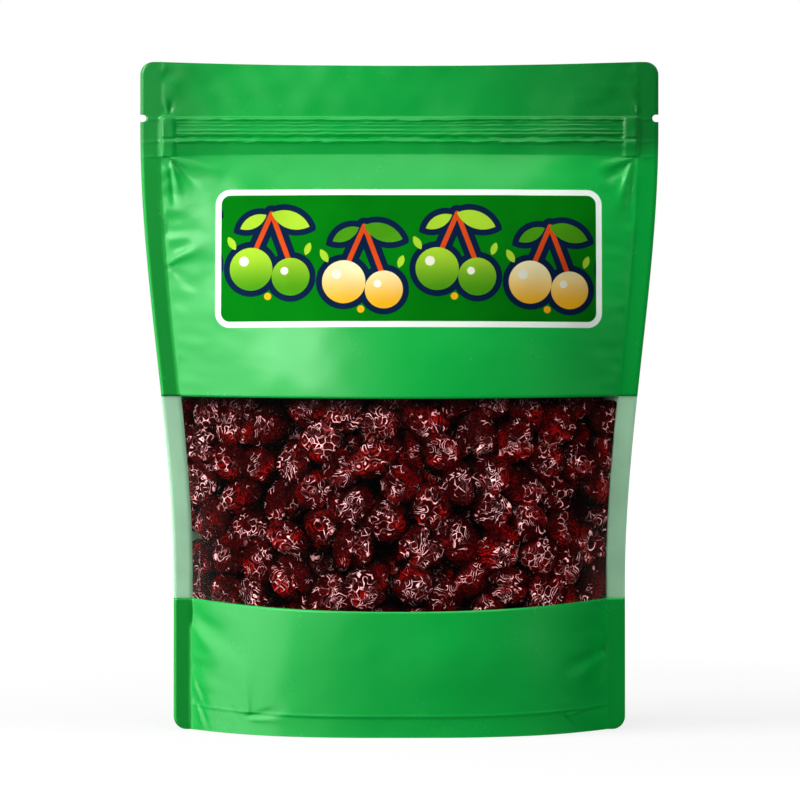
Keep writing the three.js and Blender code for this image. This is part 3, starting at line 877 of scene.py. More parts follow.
def fruit_row(make, place, colours, sizes, base):
    """A row of plain fruit pairs with stems and leaves, in flat tones with a navy outline.

    The shapes of a pair are in millimetres from its middle.
    """
    outline = 1.9 * MM
    end_room = 2.5 * MM
    row_lift = 1.2 * MM
    odd_drop = 4 * MM
    glint = (0.95, 0.95, 0.82)
    pitch = 2 * (sizes.half_width - end_room) / sizes.repeats
    parts = make.add("ShaderNodeSeparateXYZ", Vector=place)
    start = sizes.middle_x - pitch * sizes.repeats / 2
    steps = make.maths("DIVIDE", make.maths("SUBTRACT", parts.outputs["X"], start), pitch)
    index = make.maths("FLOOR", steps)
    local_x = make.times(make.maths("SUBTRACT", steps, make.maths("ADD", index, 0.5)), pitch)
    odd = make.maths("MODULO", index, 2.0)
    lift = make.maths("MULTIPLY_ADD", odd, -odd_drop, sizes.middle_z + row_lift)
    local_z = make.maths("SUBTRACT", parts.outputs["Y"], lift)
    local = make.combine(local_x, local_z, 0.0)

    def spot(x, z):
        return (x * MM, z * MM, 0)

    def disc(x, z, radius):
        shape = use_group(make, group_print_disc, Place=local, Centre=spot(x, z), Radius=radius * MM)
        return shape["Distance"]

    def bar(x, z, run_x, run_z, thickness):
        values = {"Start": spot(x, z), "Run": spot(run_x, run_z), "Thickness": thickness * MM}
        return use_group(make, group_print_bar, Place=local, **values)["Distance"]

    def leaf(x, z, angle, radius, offset):
        values = {"Centre": spot(x, z), "Angle": math.radians(angle)}
        values |= {"Radius": radius * MM, "Offset": offset * MM}
        return use_group(make, group_print_leaf, Place=local, **values)["Distance"]

    fruits = (disc(-5.6, -4.6, 6.6), disc(6.6, -7.0, 5.8))
    stems = (bar(-4.6, 0.6, 5.2, 12.0, 0.75), bar(6.2, -2.4, -5.6, 15.0, 0.75))
    leaves = (leaf(6.4, 10.6, 20, 8.6, 5.9), leaf(-5.0, 10.0, -28, 6.4, 4.5))
    glints = (disc(-7.8, -2.2, 1.5), disc(4.7, -5.2, 1.2))
    buds = (leaf(-11.6, 3.4, 60, 3.0, 1.9), leaf(11.8, 1.6, 110, 2.6, 1.6))
    drops = (disc(-0.4, -13.0, 1.1),)
    outlined = (*fruits, *stems, *leaves)
    nearest = outlined[0]
    for shape in outlined[1:]:
        nearest = make.maths("MINIMUM", nearest, shape)
    picture = make.blend(print_mask(make, nearest, outline), base, colours.outline)
    tone = make.range(local_z, -12 * MM, 2.5 * MM)
    pale = make.blend(tone, colours.amber, colours.cream)
    green = make.blend(tone, colours.moss, colours.lime)
    fruit = make.blend(odd, green, pale)
    leafy = make.blend(odd, colours.lime, colours.moss)
    for shapes, ink in (
        (stems, colours.stem),
        (leaves, leafy),
        (fruits, fruit),
        (glints, glint),
        (buds, colours.lime),
        (drops, colours.amber),
    ):
        for shape in shapes:
            picture = make.blend(print_mask(make, shape), picture, ink)
    return picture


def printed_film(scene, labelled):
    """Satin green laminate. The labelled one carries the printed panel.

    Its welds, right flank and ink are partly metallic, which keeps pale reflections off them. The left
    weld and the header's sides carry painted shade, the right weld painted light.
    """
    weld_metal, flank_metal, ink_metal = 0.35, 0.25, 0.95
    ink_roughness = 0.5
    colours, sizes = scene.pouch_colours, scene.print_sizes
    material, make, shader = new_material("printed_film_front" if labelled else "printed_film")
    position = object_position(make)
    parts = make.add("ShaderNodeSeparateXYZ", Vector=position).outputs
    across, height = parts["X"], parts["Z"]
    # Painted shade on the header: across its right side and in its left corner.
    header = make.range(height, 172 * MM, 184 * MM)
    corner = make.range(across, -72 * MM, -46 * MM, 0.55, 0.0)
    shaded = make.times(make.maths("MAXIMUM", corner, make.range(across, -25 * MM, 90 * MM)), header)
    # Painted shade on the left weld and painted light on the right weld, fading where the weld meets
    # the header.
    seal = make.blend(make.range(across, -10 * MM, 10 * MM), colours.film_seal, colours.film_seal_right)
    welded = make.times(attribute(make, "seal"), make.maths("MULTIPLY_ADD", header, -0.75, 1.0))
    base = make.blend(welded, colours.film, seal)
    base = make.blend(shaded, base, colours.film_shaded)
    below_label = make.range(height, 120 * MM, 140 * MM, 1.0, 0.0)
    flank = make.times(make.range(across, 36 * MM, 58 * MM), below_label)
    metal = make.maths("MAXIMUM", make.times(welded, weld_metal), make.times(flank, flank_metal))
    grain = use_group(make, group_film_grain, Position=position, Gloss=0.26, Spread=0.03)
    rough = grain["Roughness"]
    if labelled:
        place = make.combine(across, height, 0.0)
        edge = use_group(
            make,
            group_print_panel,
            Place=place,
            Centre=(sizes.middle_x, sizes.middle_z, 0),
            Half_size=(sizes.half_width, sizes.half_height, 0),
            Corner=sizes.corner,
        )["Distance"]
        inked = print_mask(make, edge, -sizes.border)
        base = make.blend(print_mask(make, edge), base, colours.border)
        base = make.blend(inked, base, fruit_row(make, place, colours, sizes, colours.label))
        rough = make.maths("MULTIPLY_ADD", inked, ink_roughness, rough)
        metal = make.maths("MAXIMUM", metal, make.times(inked, ink_metal))
    make.feed(shader.inputs["Base Color"], base)
    make.feed(shader.inputs["Metallic"], metal)
    make.feed(shader.inputs["Roughness"], rough)
    add_bump(make, shader, grain["Height"], 0.35 * MM, 0.5)
    shader.inputs["Specular IOR Level"].default_value = 0.5
    return material


def film_inside(scene):
    """Pale inner side of the laminate, slightly uneven in tone."""
    material, make, shader = new_material("film_inside")
    position = object_position(make)
    grain = use_group(make, group_film_grain, Position=position, Gloss=0.42, Spread=0.1)
    tint = make.range(make.noise(position, 60.0, 2.0), 0.3, 0.7)
    darker, lighter = [[part * c for c in scene.pouch_colours.film_inside] for part in (0.9, 1.06)]
    make.feed(shader.inputs["Base Color"], make.blend(tint, darker, lighter))
    make.feed(shader.inputs["Roughness"], grain["Roughness"])
    add_bump(make, shader, grain["Height"], 0.3 * MM, 0.4)
    return material


def clear_film():
    """Clear glossy film: almost unseen face on, and hazier where it turns away."""
    haze_face_on, haze_turned = 0.004, 0.42
    material, make, shader = new_material("clear_film")
    position = object_position(make)
    grain = use_group(make, group_film_grain, Position=position, Gloss=0.14, Spread=0.08)
    make.feed(shader.inputs["Roughness"], grain["Roughness"])
    add_bump(make, shader, grain["Height"], 0.5 * MM, 0.6)
    turned = make.add("ShaderNodeLayerWeight", Blend=0.45)
    haze = make.range(turned.outputs["Facing"], 0.2, 1.0)
    shader.inputs["Base Color"].default_value = (0.11, 0.132, 0.118, 1)
    shader.inputs["Specular IOR Level"].default_value = 0.25
    make.feed(shader.inputs["Alpha"], make.maths("MULTIPLY_ADD", haze, haze_turned, haze_face_on))
    return material


def cherry_skin(scene, name, warmth):
    """Glossy dark red skin, with painted highlights and painted red halos on its crests, a painted
    glow, and painted shade.
    """
    colours = scene.pouch_colours
    material, make, shader = new_material(name)
    tone = make.maths("MULTIPLY", attribute(make, "tone"), warmth)
    skin = use_group(
        make,
        group_wrinkled_skin,
        Position=object_position(make),
        Tone=tone,
        Glow=attribute(make, "glow"),
        Crests=attribute(make, "crests"),
        Shade=attribute(make, "shade"),
        Dark=colours.flesh_dark,
        Red=colours.flesh_red,
        Edge=colours.flesh_edge,
        Line=colours.flesh_line,
    )
    make.feed(shader.inputs["Base Color"], skin["Color"])
    make.feed(shader.inputs["Roughness"], skin["Roughness"])
    add_bump(make, shader, skin["Height"], 0.22 * MM, 1.0)
    shader.inputs["Specular IOR Level"].default_value = 0.05
    make.feed(shader.inputs["Coat Weight"], skin["Coat"])
    shader.inputs["Coat Roughness"].default_value = 0.08
    return material


def front_normal(bag, x, z):
    """Outward direction of the front film."""
    step = 0.5 * MM

    def depth(px, pz):
        return bag.depth(np.clip(bag.share_at(px, pz), -0.999, 0.999), pz)

    slope_x = (depth(x + step, z) - depth(x - step, z)) / (2 * step)
    slope_z = (depth(x, z + step) - depth(x, z - step)) / (2 * step)
    normal = np.stack([-slope_x, -np.ones_like(x), -slope_z], -1)
    return unit(normal)


def heap_places(bag, fruit, rng):
    """Middles and radii of the cherries, pushed apart and against the film until they lie close."""
    steps = 260
    closeness = 0.82
    push_share = 0.3
    radius = fruit.radius * rng.uniform(1 - fruit.spread, 1 + fruit.spread, fruit.count)
    low, high = bag.window.low - fruit.margin, bag.window.high + fruit.margin
    x = rng.uniform(HEAP_LOW.x, HEAP_HIGH.x, fruit.count)
    z = rng.uniform(low, high, fruit.count)
    y = -bag.depth(bag.share_at(x, z), z) + rng.uniform(0.3, 1, fruit.count) * fruit.depth
    place = np.stack([x, y, z], -1)
    pull = rng.uniform(0.02, 0.28, fruit.count) * MM
    itself = np.eye(fruit.count)
    wanted = closeness * (radius[:, None] + radius[None])
    for step in range(steps):
        gap = place[:, None] - place[None]
        apart = np.linalg.norm(gap, axis=-1) + itself
        push = np.clip(wanted - apart, 0, None) * (1 - itself)
        place += push_share * (gap / apart[..., None] * push[..., None]).sum(1)
        place[:, 1] -= pull * (1 - step / steps)
        place[:, 2] = np.clip(place[:, 2], low, high)
        side = bag.inner_edge(place[:, 2]) - fruit.side_gap - 0.5 * radius
        place[:, 0] = np.clip(place[:, 0], -side, side)
        part = bag.share_at(place[:, 0], place[:, 2])
        film = -bag.depth(part, place[:, 2])
        lean = -front_normal(bag, place[:, 0], place[:, 2])[:, 1]
        nearest = np.minimum(film + 0.8 * radius / lean, 0)
        place[:, 1] = np.clip(place[:, 1], nearest, film + fruit.depth)
    return place, radius


def ball_points(steps):
    """Directions and triangles of a ball whose points lie closer together towards -Y.

    It starts as an icosahedron, whose corners lie 2 apart along its edges.
    """
    golden = (1 + math.sqrt(5)) / 2
    longest_edge = 2.1
    corners = []
    for a, b in itertools.product((-1, 1), (-golden, golden)):
        corners += [(0, a, b), (a, b, 0), (b, 0, a)]
    corners = np.array(corners, float)
    points, faces = [], []
    for trio in itertools.combinations(range(12), 3):
        a, b, c = corners[list(trio)]
        if max(np.linalg.norm(a - b), np.linalg.norm(b - c), np.linalg.norm(c - a)) > longest_edge:
            continue
        if np.dot(np.cross(b - a, c - a), a) < 0:
            b, c = c, b
        index = {}
        for i in range(steps + 1):
            for j in range(steps + 1 - i):
                index[i, j] = len(points)
                points.append(a + (b - a) * i / steps + (c - a) * j / steps)
        for i, j in index:
            if i + j < steps:
                faces.append((index[i, j], index[i + 1, j], index[i, j + 1]))
            if i + j < steps - 1:
                faces.append((index[i + 1, j], index[i + 1, j + 1], index[i, j + 1]))
    points = np.array(points)
    _, first, where = np.unique(points.round(6), axis=0, return_index=True, return_inverse=True)
    points = points[first]
    faces = where.reshape(-1)[np.array(faces)]
    points = unit(points)
    back = np.interp((1 + points[:, 1]) / 2, (0, 0.9, 1), (0, 0.58, 1))
    flat = points[:, [0, 2]]
    reach = np.linalg.norm(flat, axis=1, keepdims=True)
    flat = np.divide(flat, reach, out=np.zeros_like(flat), where=reach > 1e-9)
    points[:, 1] = 2 * back - 1
    points[:, [0, 2]] = flat * np.sqrt(1 - points[:, 1:2] ** 2)
    return points, faces


def scattered_directions(count, rng):
    """Directions spread about evenly over a ball."""
    i = np.arange(count) + 0.5
    height = 1 - 2 * i / count
    turn = math.pi * (1 + math.sqrt(5)) * i
    flat = np.sqrt(1 - height**2)
    points = np.stack([flat * np.cos(turn), flat * np.sin(turn), height], -1)
    points += rng.normal(scale=0.7 / math.sqrt(count), size=points.shape)
    return unit(points)


def cell_edges(points, seeds):
    """For each point the nearest seed, and how far the point is from the border of its cell."""
    angle = np.arccos(np.clip(points @ seeds.T, -1, 1))
    order = np.argpartition(angle, 1, axis=1)[:, :2]
    two = np.take_along_axis(angle, order, 1)
    first = np.where(two[:, 0] <= two[:, 1], order[:, 0], order[:, 1])
    return first, np.abs(two[:, 1] - two[:, 0])


def skin_relief(points, rng):
    """Relief of shrunken skin as a share of the radius: hollows between crests, with smaller lumps."""
    crest_stand, crest_width = 0.06, 0.11
    hollow_depth, hollow_width = 0.075, 0.3
    tilt = 0.06
    drift = np.stack([waves(points, 0.9, rng) for _ in range(3)], -1)
    quick = np.stack([waves(points, 0.4, rng) for _ in range(3)], -1)
    warped = unit(points + 0.10 * drift + 0.03 * quick)
    seeds = scattered_directions(rng.integers(34, 52), rng)
    cell, border = cell_edges(warped, seeds)
    crest = np.exp(-border / crest_width)
    hollow = 1 - bump(border, hollow_width)
    sunk = rng.uniform(0.1, 1.4, len(seeds))[cell]
    run = rng.normal(size=(len(seeds), 3))
    slope = ((warped - seeds[cell]) * run[cell]).sum(1) * hollow
    lumps = 0.014 * waves(points, 0.45, rng) + 0.008 * waves(points, 0.25, rng)
    return crest_stand * crest - hollow_depth * hollow * sunk + tilt * slope + lumps


def cherry_points(points, kind, rng, turn):
    """One dried cherry of unit size. Its kind says how its body has shrunk."""
    local = points @ turn
    body = 1 + 0.07 * waves(local, 2.2, rng) + 0.04 * waves(local, 1.1, rng)
    shape = local * (body + skin_relief(local, rng))[:, None]
    front = -local[:, 1]
    if kind == "flat":
        shape[:, 1] *= 0.62
        shape[:, 1] += 0.22 * np.exp(-((1 - front) / 0.35)) - 0.1
    elif kind == "folded":
        groove = bump(local[:, 2], 0.2) * smooth(-0.2, 0.5, front)
        shape *= (1 - 0.42 * groove)[:, None]
        shape[:, 0] *= 1.16
        shape[:, 2] *= 0.88
    elif kind == "pitted":
        mouth = bump(1 - front, 0.16)
        shape *= (1 - 0.72 * mouth)[:, None]
        shape[:, 1] *= 0.8
    elif kind == "long":
        shape[:, 0] *= 1.2
        shape[:, [1, 2]] *= 0.84
    else:
        shape[:, 1] *= 0.9
    return shape @ turn.T


def rotation(rng, tilt):
    """A turn about the front axis by any angle, then a tilt of the front axis by up to an angle."""
    spin, side, lean = rng.uniform(0, 2 * math.pi), rng.uniform(0, 2 * math.pi), rng.uniform(0, tilt)
    c, s = math.cos(spin), math.sin(spin)
    about = np.array([[c, 0, s], [0, 1, 0], [-s, 0, c]])
    axis = Vector((math.cos(side), 0, math.sin(side)))
    return np.array(Matrix.Rotation(lean, 3, axis)) @ about


def facing(normal):
    """Rotation that turns -Y to a direction."""
    return np.array(Vector((0, -1, 0)).rotation_difference(Vector(normal)).to_matrix())


def inside_film(points, bag):
    """Presses points in between the two films and in from the seals."""
    x, y, z = points.T
    seal_gap = 0.35 * MM
    shown_gap, hidden_gap = 1 * MM, 2.6 * MM
    soft = 0.35 * MM
    side = bag.inner_edge(z) - seal_gap
    x = np.clip(x, -side, side)
    part = bag.share_at(x, z)
    hidden = np.maximum(bag.window_low(part) - z, z - bag.window_high(part))
    clearance = mix(shown_gap, hidden_gap, smooth(0, 3 * MM, hidden))
    reach = np.maximum(bag.depth(part, z) - clearance, 0)
    y = y + soft * np.logaddexp(0, (-reach - y) / soft)
    return np.stack([x, np.minimum(y, reach), z], -1)


CHERRY_KINDS = ("round", "flat", "folded", "pitted", "long")
KIND_TILT = {"pitted": 0.7, "flat": 0.6}


def spot_masks(directions, normal, rng):
    """Where a cherry gets painted highlights on its crests, a painted red glow beside them, and painted
    shade where it turns away.
    """
    # The spot of painted highlights leans towards the front, a little low.
    lean = unit(normal + rng.normal(scale=0.28, size=3) - np.array([0, 0, 0.1]))
    angle = np.arccos(np.clip(directions @ lean, -1, 1)) + 0.16 * waves(directions, 0.8, rng)
    reach = rng.uniform(0.5, 0.95)
    crests = (1 - smooth(0.7 * reach, 1.4 * reach, angle)) * rng.uniform(0.45, 1)
    # Painted glow of light through the skin, on the lower side round the spot.
    side = unit(rng.normal(scale=0.5, size=3) + np.array([0, -0.3, -1]))
    red = rng.uniform(0.3, 1) * smooth(-0.3, 0.7, directions @ side) * (1 - smooth(0.9, 1.5, angle))
    # Painted shade towards the rims that turn away from the front.
    away = 1 - smooth(0.1, 0.85, directions @ normal)
    return crests, red, away


def cherry_mesh(name, kind, places, radii, bag, rng, balls):
    """All cherries of one kind as one mesh. Those far behind the film are coarser."""
    coarse_from = 5 * MM
    points, faces = [], []
    masks = {"tone": [], "crests": [], "glow": [], "shade": []}
    start = 0
    for place, radius in zip(places, radii):
        behind = place[1] - radius + bag.depth(bag.share_at(place[0], place[2]), place[2])
        directions, triangles = balls[int(behind > coarse_from)]
        normal = front_normal(bag, np.array([place[0]]), np.array([place[2]]))[0]
        turn = facing(normal) @ rotation(rng, KIND_TILT.get(kind, 0.9))
        points.append(cherry_points(directions, kind, rng, turn) * radius + place)
        faces.append(triangles + start)
        start += len(directions)
        crests, red, away = spot_masks(directions, normal, rng)
        masks["tone"].append(np.full(len(directions), rng.uniform(0.1, 1) ** 1.5))
        masks["crests"].append(crests)
        masks["glow"].append(red)
        masks["shade"].append(away)
    mesh = bpy.data.meshes.new(name)
    placed = inside_film(np.concatenate(points), bag)
    x, y, z = placed.T
    part = bag.share_at(x, z)
    # Painted shade deep behind the film and just under the print's edge, joined with the rims' painted
    # shade. lit is the share left unshaded.
    depth_shade = 0.97 * smooth(2.5 * MM, 12 * MM, y + bag.depth(part, z))
    print_edge_shade = 0.95 * smooth(-6 * MM, -0.8 * MM, z - bag.window_high(part))
    lit = (1 - depth_shade) * (1 - print_edge_shade) * (1 - 0.93 * np.concatenate(masks["shade"]))
    masks["shade"] = [1 - lit]
    mesh.from_pydata(placed, [], np.concatenate(faces))
    shade_smooth(mesh)
    for key, values in masks.items():
        store(mesh, key, np.concatenate(values))
    mesh.update()
    return mesh


class POUCH_OT_back(bpy.types.Operator):
    """Make the back film and the folded base"""

    bl_idname = "pouch.back"
    bl_label = "Back and base"

    def execute(self, context):
        bag = Bag(context.scene)
        size = bag.size
        green, pale = printed_film(context.scene, False), film_inside(context.scene)
        corner = corner_rows(size.corner, 7)
        rows = np.concatenate(
            [
                corner[:-1],
                np.linspace(size.corner, size.zip_low - 1 * MM, 70),
                np.linspace(size.zip_low - 0.6 * MM, size.zip_high + 0.8 * MM, 34),
                np.linspace(size.zip_high + 1.6 * MM, size.height - size.corner, 9),
                (size.height - corner)[-2::-1],
            ]
        )
        thickness = size.fin / 2 - FILM_GAP
        mesh = panel_sheet(
            "film_back", bag, 1, rows, lambda row, part: 0 * row, 72, BACK_SEED, thickness
        )
        piece = add_object("film_back", mesh, [green, pale], ["pouch"])
        cut_notches(piece, bag)
        self.base(bag, green, pale)
        return {"FINISHED"}

    def base(self, bag, green, pale):
        """Folded base film: it rises in a shallow vault from the bottom seam to its middle fold."""
        lift = 0.05 * MM
        vault_rise = 5 * MM
        fold_rise, fold_width = 1.2 * MM, 0.08
        part = np.linspace(-0.985, 0.985, 81)
        across = np.linspace(-1, 1, 41)
        across, part = np.meshgrid(across, part, indexing="ij")
        floor = np.zeros_like(part)
        reach = bag.depth(part, floor) - 0.35 * MM
        rise = vault_rise * (1 - across**4) * (1 - np.abs(part) ** 4)
        fold = fold_rise * bump(across, fold_width) * (1 - np.abs(part) ** 4)
        x = part * bag.inner_edge(floor)
        outer = np.stack([x, across * reach, lift + rise + fold], -1)
        inner = outer.copy()
        inner[..., 2] += bag.size.film
        seal = np.zeros_like(part)
        mesh = sheet_mesh("film_base", outer, inner, flip=True, attributes=[("seal", seal)])
        add_object("film_base", mesh, [green, pale], [])


class POUCH_OT_front(bpy.types.Operator):
    """Make the printed front film above and below the window"""

    bl_idname = "pouch.front"
    bl_label = "Printed front"

    def execute(self, context):
        bag = Bag(context.scene)
        size = bag.size
        green, pale = printed_film(context.scene, True), film_inside(context.scene)
        corner = corner_rows(size.corner, 9)
        middle_low, middle_high = bag.window_low(0), bag.window_high(0)

        def low_shift(row, part):
            return (bag.window_low(part) - middle_low) * smooth(12 * MM, middle_low, row)

        def high_shift(row, part):
            return (bag.window_high(part) - middle_high) * (1 - smooth(middle_high, 140 * MM, row))

        low_rows = np.concatenate(
            [corner[:-1], np.arange(size.corner, 9 * MM, 0.4 * MM), np.linspace(9 * MM, middle_low, 38)]
        )
        high_rows = np.concatenate(
            [
                np.linspace(middle_high, size.zip_low - 0.8 * MM, 92),
                np.linspace(size.zip_low - 0.5 * MM, size.zip_high + 0.6 * MM, 58),
                np.linspace(size.zip_high + 1 * MM, size.height - size.corner, 18),
                (size.height - corner)[-2::-1],
            ]
        )
        thickness = size.fin / 2 - FILM_GAP
        for name, rows, shift in (
            ("film_front_low", low_rows, low_shift),
            ("film_front_high", high_rows, high_shift),
        ):
            mesh = panel_sheet(name, bag, -1, rows, shift, 190, FRONT_SEED, thickness, folded=True)
            piece = add_object(name, mesh, [green, pale], ["pouch"])
            if name == "film_front_high":
                cut_notches(piece, bag)
        return {"FINISHED"}


class POUCH_OT_window(bpy.types.Operator):
    """Make the clear film across the window"""

    bl_idname = "pouch.window"
    bl_label = "Clear window"

    def execute(self, context):
        bag = Bag(context.scene)
        low, high = bag.window_low(0), bag.window_high(0)

        def shift(row, part):
            up = (row - low) / (high - low)
            return mix(bag.window_low(part) - low, bag.window_high(part) - high, up)

        rows = np.linspace(low + 0.02 * MM, high - 0.02 * MM, 44)
        thickness = 0.1 * MM
        mesh = panel_sheet(
            "window_band", bag, -1, rows, shift, 150, FRONT_SEED, thickness, folded=True
        )
        film = clear_film()
        add_object("window_band", mesh, [film, film], ["window_film"])
        return {"FINISHED"}


class POUCH_OT_heap(bpy.types.Operator):
    """Make the heap of dried cherries behind the window"""

    bl_idname = "pouch.heap"
    bl_label = "Cherry heap"

    def execute(self, context):
        bag = Bag(context.scene)
        fruit = context.scene.fruit_sizes
        rng = np.random.default_rng(fruit.seed)
        places, radii = heap_places(bag, fruit, rng)
        balls = (ball_points(17), ball_points(9))
        draw = rng.permutation(np.arange(fruit.count) % len(CHERRY_KINDS))
        for number, kind in enumerate(CHERRY_KINDS):
            chosen = draw == number
            name = "cherries_" + kind
            skin = cherry_skin(context.scene, "cherry_skin_" + kind, 1.0)
            mesh = cherry_mesh(name, kind, places[chosen], radii[chosen], bag, rng, balls)
            add_object(name, mesh, [skin], ["cherries"])
        self.core(context.scene, bag, fruit)
        return {"FINISHED"}

    def core(self, scene, bag, fruit):
        """Body of the heap behind the cherries that show, painted in full shade."""
        side_share = 0.93
        back_share = 0.6
        back_gap = 0.8 * MM
        least_depth = 1 * MM
        low, high = bag.window.low - 2 * fruit.margin, bag.window.high + 2 * fruit.margin
        part = np.linspace(-side_share, side_share, 61)
        z, part = np.meshgrid(np.linspace(low, high, 61), part, indexing="ij")
        full = bag.depth(part, z)
        x = part * bag.inner_edge(z)
        rng = np.random.default_rng(fruit.seed + 1)
        lumps = 1.6 * MM * waves(np.stack([x, z], -1), 13 * MM, rng)
        near = full - np.minimum(0.75 * fruit.depth, 0.9 * full) + np.minimum(lumps, 0.1 * full)
        outer = np.stack([x, -near, z], -1)
        inner = outer.copy()
        inner[..., 1] = np.minimum(np.maximum(back_share * full, least_depth - near), full - back_gap)
        blank = np.zeros_like(part)
        # Full painted shade: the core shows only as near black.
        attributes = [("shade", blank + 1), ("tone", blank + 0.1), ("glow", blank), ("crests", blank)]
        mesh = sheet_mesh("heap_core", outer, inner, attributes=attributes)
        skin = cherry_skin(scene, "cherry_skin_core", 0.5)
        add_object("heap_core", mesh, [skin, skin], ["cherries"])


# Soft boxes: name, degrees round from the front to the right, degrees up, distance, width and height,
# power, the group of pieces that it is for, and whether it only shows as a reflection or only lights.
LIGHTS = (
    ("key_light", -70, 22, 1.3, (0.75, 1.3), 21.5, None, False),
    ("front_light", -25, 10, 0.7, (0.3, 0.3), 1.3, None, False),
    ("top_light", 0, 78, 1.4, (1.0, 1.0), 8.5, None, False),
    ("right_light", 70, 10, 1.6, (0.8, 1.6), 12.5, None, False),
    ("back_light", 188, 24, 1.5, (1.2, 1.2), 15.0, "film", False),
    ("film_band", -72, 10, 1.6, (1.7, 2.6), 30.0, "film", True),
    ("film_band_soft", -32, 10, 1.6, (0.8, 2.6), 3.8, "film", True),
    ("film_band_front", -12, 10, 1.6, (0.6, 2.6), 0.9, "film", True),
    ("film_band_back", 150, 14, 1.6, (1.0, 2.2), 2.4, "film", True),
    ("film_sky", 0, 62, 1.6, (2.2, 1.2), 10.0, "film", True),
    ("film_sky_left", -42, 24, 1.6, (0.9, 0.6), 9.5, "film", True),
    ("film_sky_right", 44, 46, 1.6, (1.0, 0.6), 1.8, "film", True),
    ("fruit_glint_low", 8, -6, 1.2, (0.16, 0.16), 2.0, "fruit", True),
    ("fruit_glint_left", -34, 24, 1.2, (0.3, 0.3), 4.0, "fruit", True),
    ("fruit_glint_right", 34, 8, 1.2, (0.2, 0.2), 2.0, "fruit", True),
    ("fruit_light", -2, 22, 1.0, (0.45, 0.45), 12.5, "fruit", False),
)


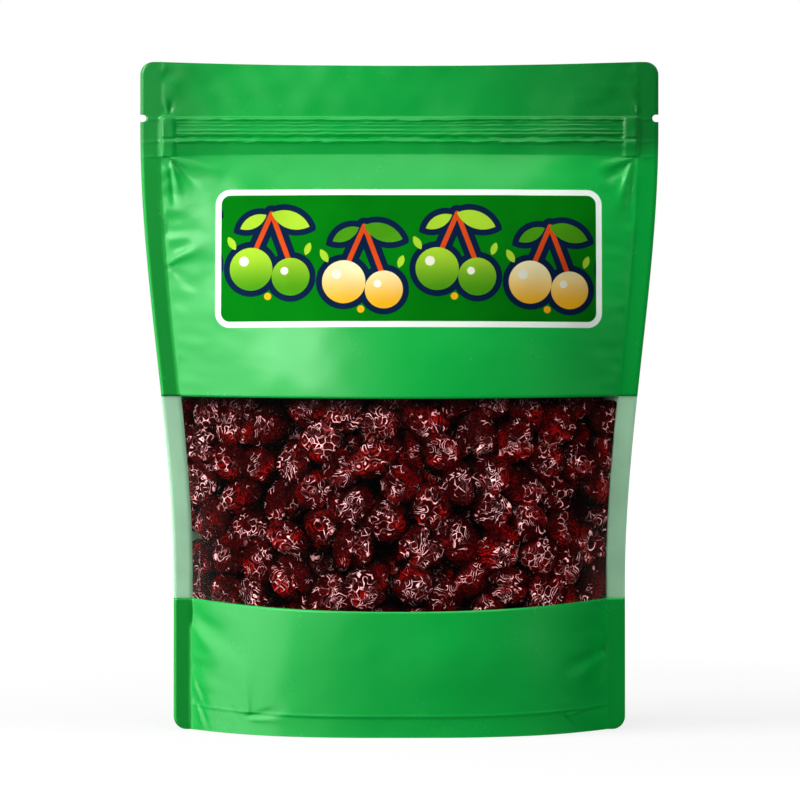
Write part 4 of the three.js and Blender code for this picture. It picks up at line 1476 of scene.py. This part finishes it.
class POUCH_OT_stage(bpy.types.Operator):
    """Make the floor, the lights and the camera"""

    bl_idname = "pouch.stage"
    bl_label = "Stage"

    def execute(self, context):
        scene = context.scene
        self.floor()
        self.world(scene)
        self.lights(scene)
        self.camera(scene)
        scene.view_settings.view_transform = "Standard"
        return {"FINISHED"}

    def floor(self):
        """A grey floor for the shadow. The camera sees it near white, and gloss doesn't show it."""
        half = 30.0
        grey = (0.2, 0.2, 0.2, 1)
        white_near, white_far = 0.755, 0.98
        mesh = bpy.data.meshes.new("floor")
        corners = [(-half, -half, 0), (half, -half, 0), (half, half, 0), (-half, half, 0)]
        mesh.from_pydata(corners, [], [(0, 1, 2, 3)])
        floor = bpy.data.objects.new("floor", mesh)
        bpy.context.scene.collection.objects.link(floor)
        material, make, shader = new_material("pale_floor")
        rays = make.add("ShaderNodeLightPath").outputs
        shader.inputs["Base Color"].default_value = grey
        shader.inputs["Roughness"].default_value = 0.9
        shader.inputs["Specular IOR Level"].default_value = 0.0
        shader.inputs["Emission Color"].default_value = (1, 1, 1, 1)
        away = make.vector("LENGTH", object_position(make))
        white = make.range(away, 0.1, 0.7, white_near, white_far)
        make.feed(shader.inputs["Emission Strength"], make.times(rays["Is Camera Ray"], white))
        clear = make.add("ShaderNodeBsdfTransparent")
        either = make.add("ShaderNodeMixShader", Fac=rays["Is Glossy Ray"])
        make.feed(either.inputs[1], shader.outputs[0])
        make.feed(either.inputs[2], clear.outputs[0])
        make.feed(material.node_tree.nodes["Material Output"].inputs["Surface"], either.outputs[0])
        mesh.materials.append(material)

    def world(self, scene):
        """White behind everything, with a little light from all round that hardly shows in gloss."""
        fill_light, fill_gloss = 0.22, 0.004
        world = bpy.data.worlds.new("studio")
        world.use_nodes = True
        make = NodeMaker(world.node_tree)
        background = world.node_tree.nodes["Background"]
        rays = make.add("ShaderNodeLightPath").outputs
        fill = make.range(rays["Is Glossy Ray"], 0.0, 1.0, fill_light, fill_gloss)
        make.feed(background.inputs["Strength"], make.maths("MAXIMUM", rays["Is Camera Ray"], fill))
        background.inputs["Color"].default_value = (1, 1, 1, 1)
        scene.world = world

    def lights(self, scene):
        """Soft boxes. Each either lights or only shows as a reflection, for all or for one group."""
        target = Vector((0, 0, scene.pouch_sizes.height / 2))
        groups = {"film": bpy.data.collections.new("film"), "fruit": bpy.data.collections.new("fruit")}
        for piece in scene.collection.objects:
            if piece.name.startswith(("film", "window")):
                groups["film"].objects.link(piece)
            elif piece.name.startswith(("cherries", "heap")):
                groups["fruit"].objects.link(piece)
        for name, azimuth, elevation, distance, size, power, receiver, gloss in LIGHTS:
            light = bpy.data.lights.new(name, "AREA")
            light.shape = "RECTANGLE"
            light.size, light.size_y = size
            light.energy = power
            lamp = bpy.data.objects.new(name, light)
            turn, rise = math.radians(azimuth), math.radians(elevation)
            level = math.cos(rise)
            away = Vector((level * math.sin(turn), -level * math.cos(turn), math.sin(rise)))
            lamp.location = target + distance * away
            lamp.rotation_euler = (-away).to_track_quat("-Z", "Y").to_euler()
            lamp.visible_glossy = gloss
            lamp.visible_diffuse = not gloss
            if receiver:
                lamp.light_linking.receiver_collection = groups[receiver]
            scene.collection.objects.link(lamp)

    def camera(self, scene):
        stage = scene.stage_settings
        camera = bpy.data.objects.new("camera", bpy.data.cameras.new("camera"))
        camera.location = (stage.aside, -stage.distance, stage.eye)
        camera.rotation_euler = (math.pi / 2, 0, 0)
        camera.data.lens = camera.data.sensor_width * stage.distance / stage.frame
        camera.data.clip_end = 50
        scene.collection.objects.link(camera)
        scene.camera = camera


OPERATORS = (POUCH_OT_back, POUCH_OT_front, POUCH_OT_window, POUCH_OT_heap, POUCH_OT_stage)


class POUCH_PT_panel(bpy.types.Panel):
    """Buttons for the pouch's pieces"""

    bl_label = "Cherry pouch"
    bl_idname = "POUCH_PT_panel"
    bl_space_type = "VIEW_3D"
    bl_region_type = "UI"
    bl_category = "Pouch"

    def draw(self, context):
        for operator in OPERATORS:
            self.layout.operator(operator.bl_idname)


PROPERTIES = {
    "pouch_sizes": PouchSizes,
    "window_sizes": WindowSizes,
    "fruit_sizes": FruitSizes,
    "print_sizes": PrintSizes,
    "pouch_colours": PouchColours,
    "stage_settings": StageSettings,
}


def register():
    for kind in (*PROPERTIES.values(), *OPERATORS, POUCH_PT_panel):
        bpy.utils.register_class(kind)
    for name, kind in PROPERTIES.items():
        setattr(bpy.types.Scene, name, bpy.props.PointerProperty(type=kind))


def unregister():
    for name in PROPERTIES:
        delattr(bpy.types.Scene, name)
    for kind in (POUCH_PT_panel, *OPERATORS, *PROPERTIES.values()):
        bpy.utils.unregister_class(kind)


def main():
    register()
    bpy.ops.pouch.back()
    bpy.ops.pouch.front()
    bpy.ops.pouch.window()
    bpy.ops.pouch.heap()
    bpy.ops.pouch.stage()


if __name__ == "__main__":
    main()
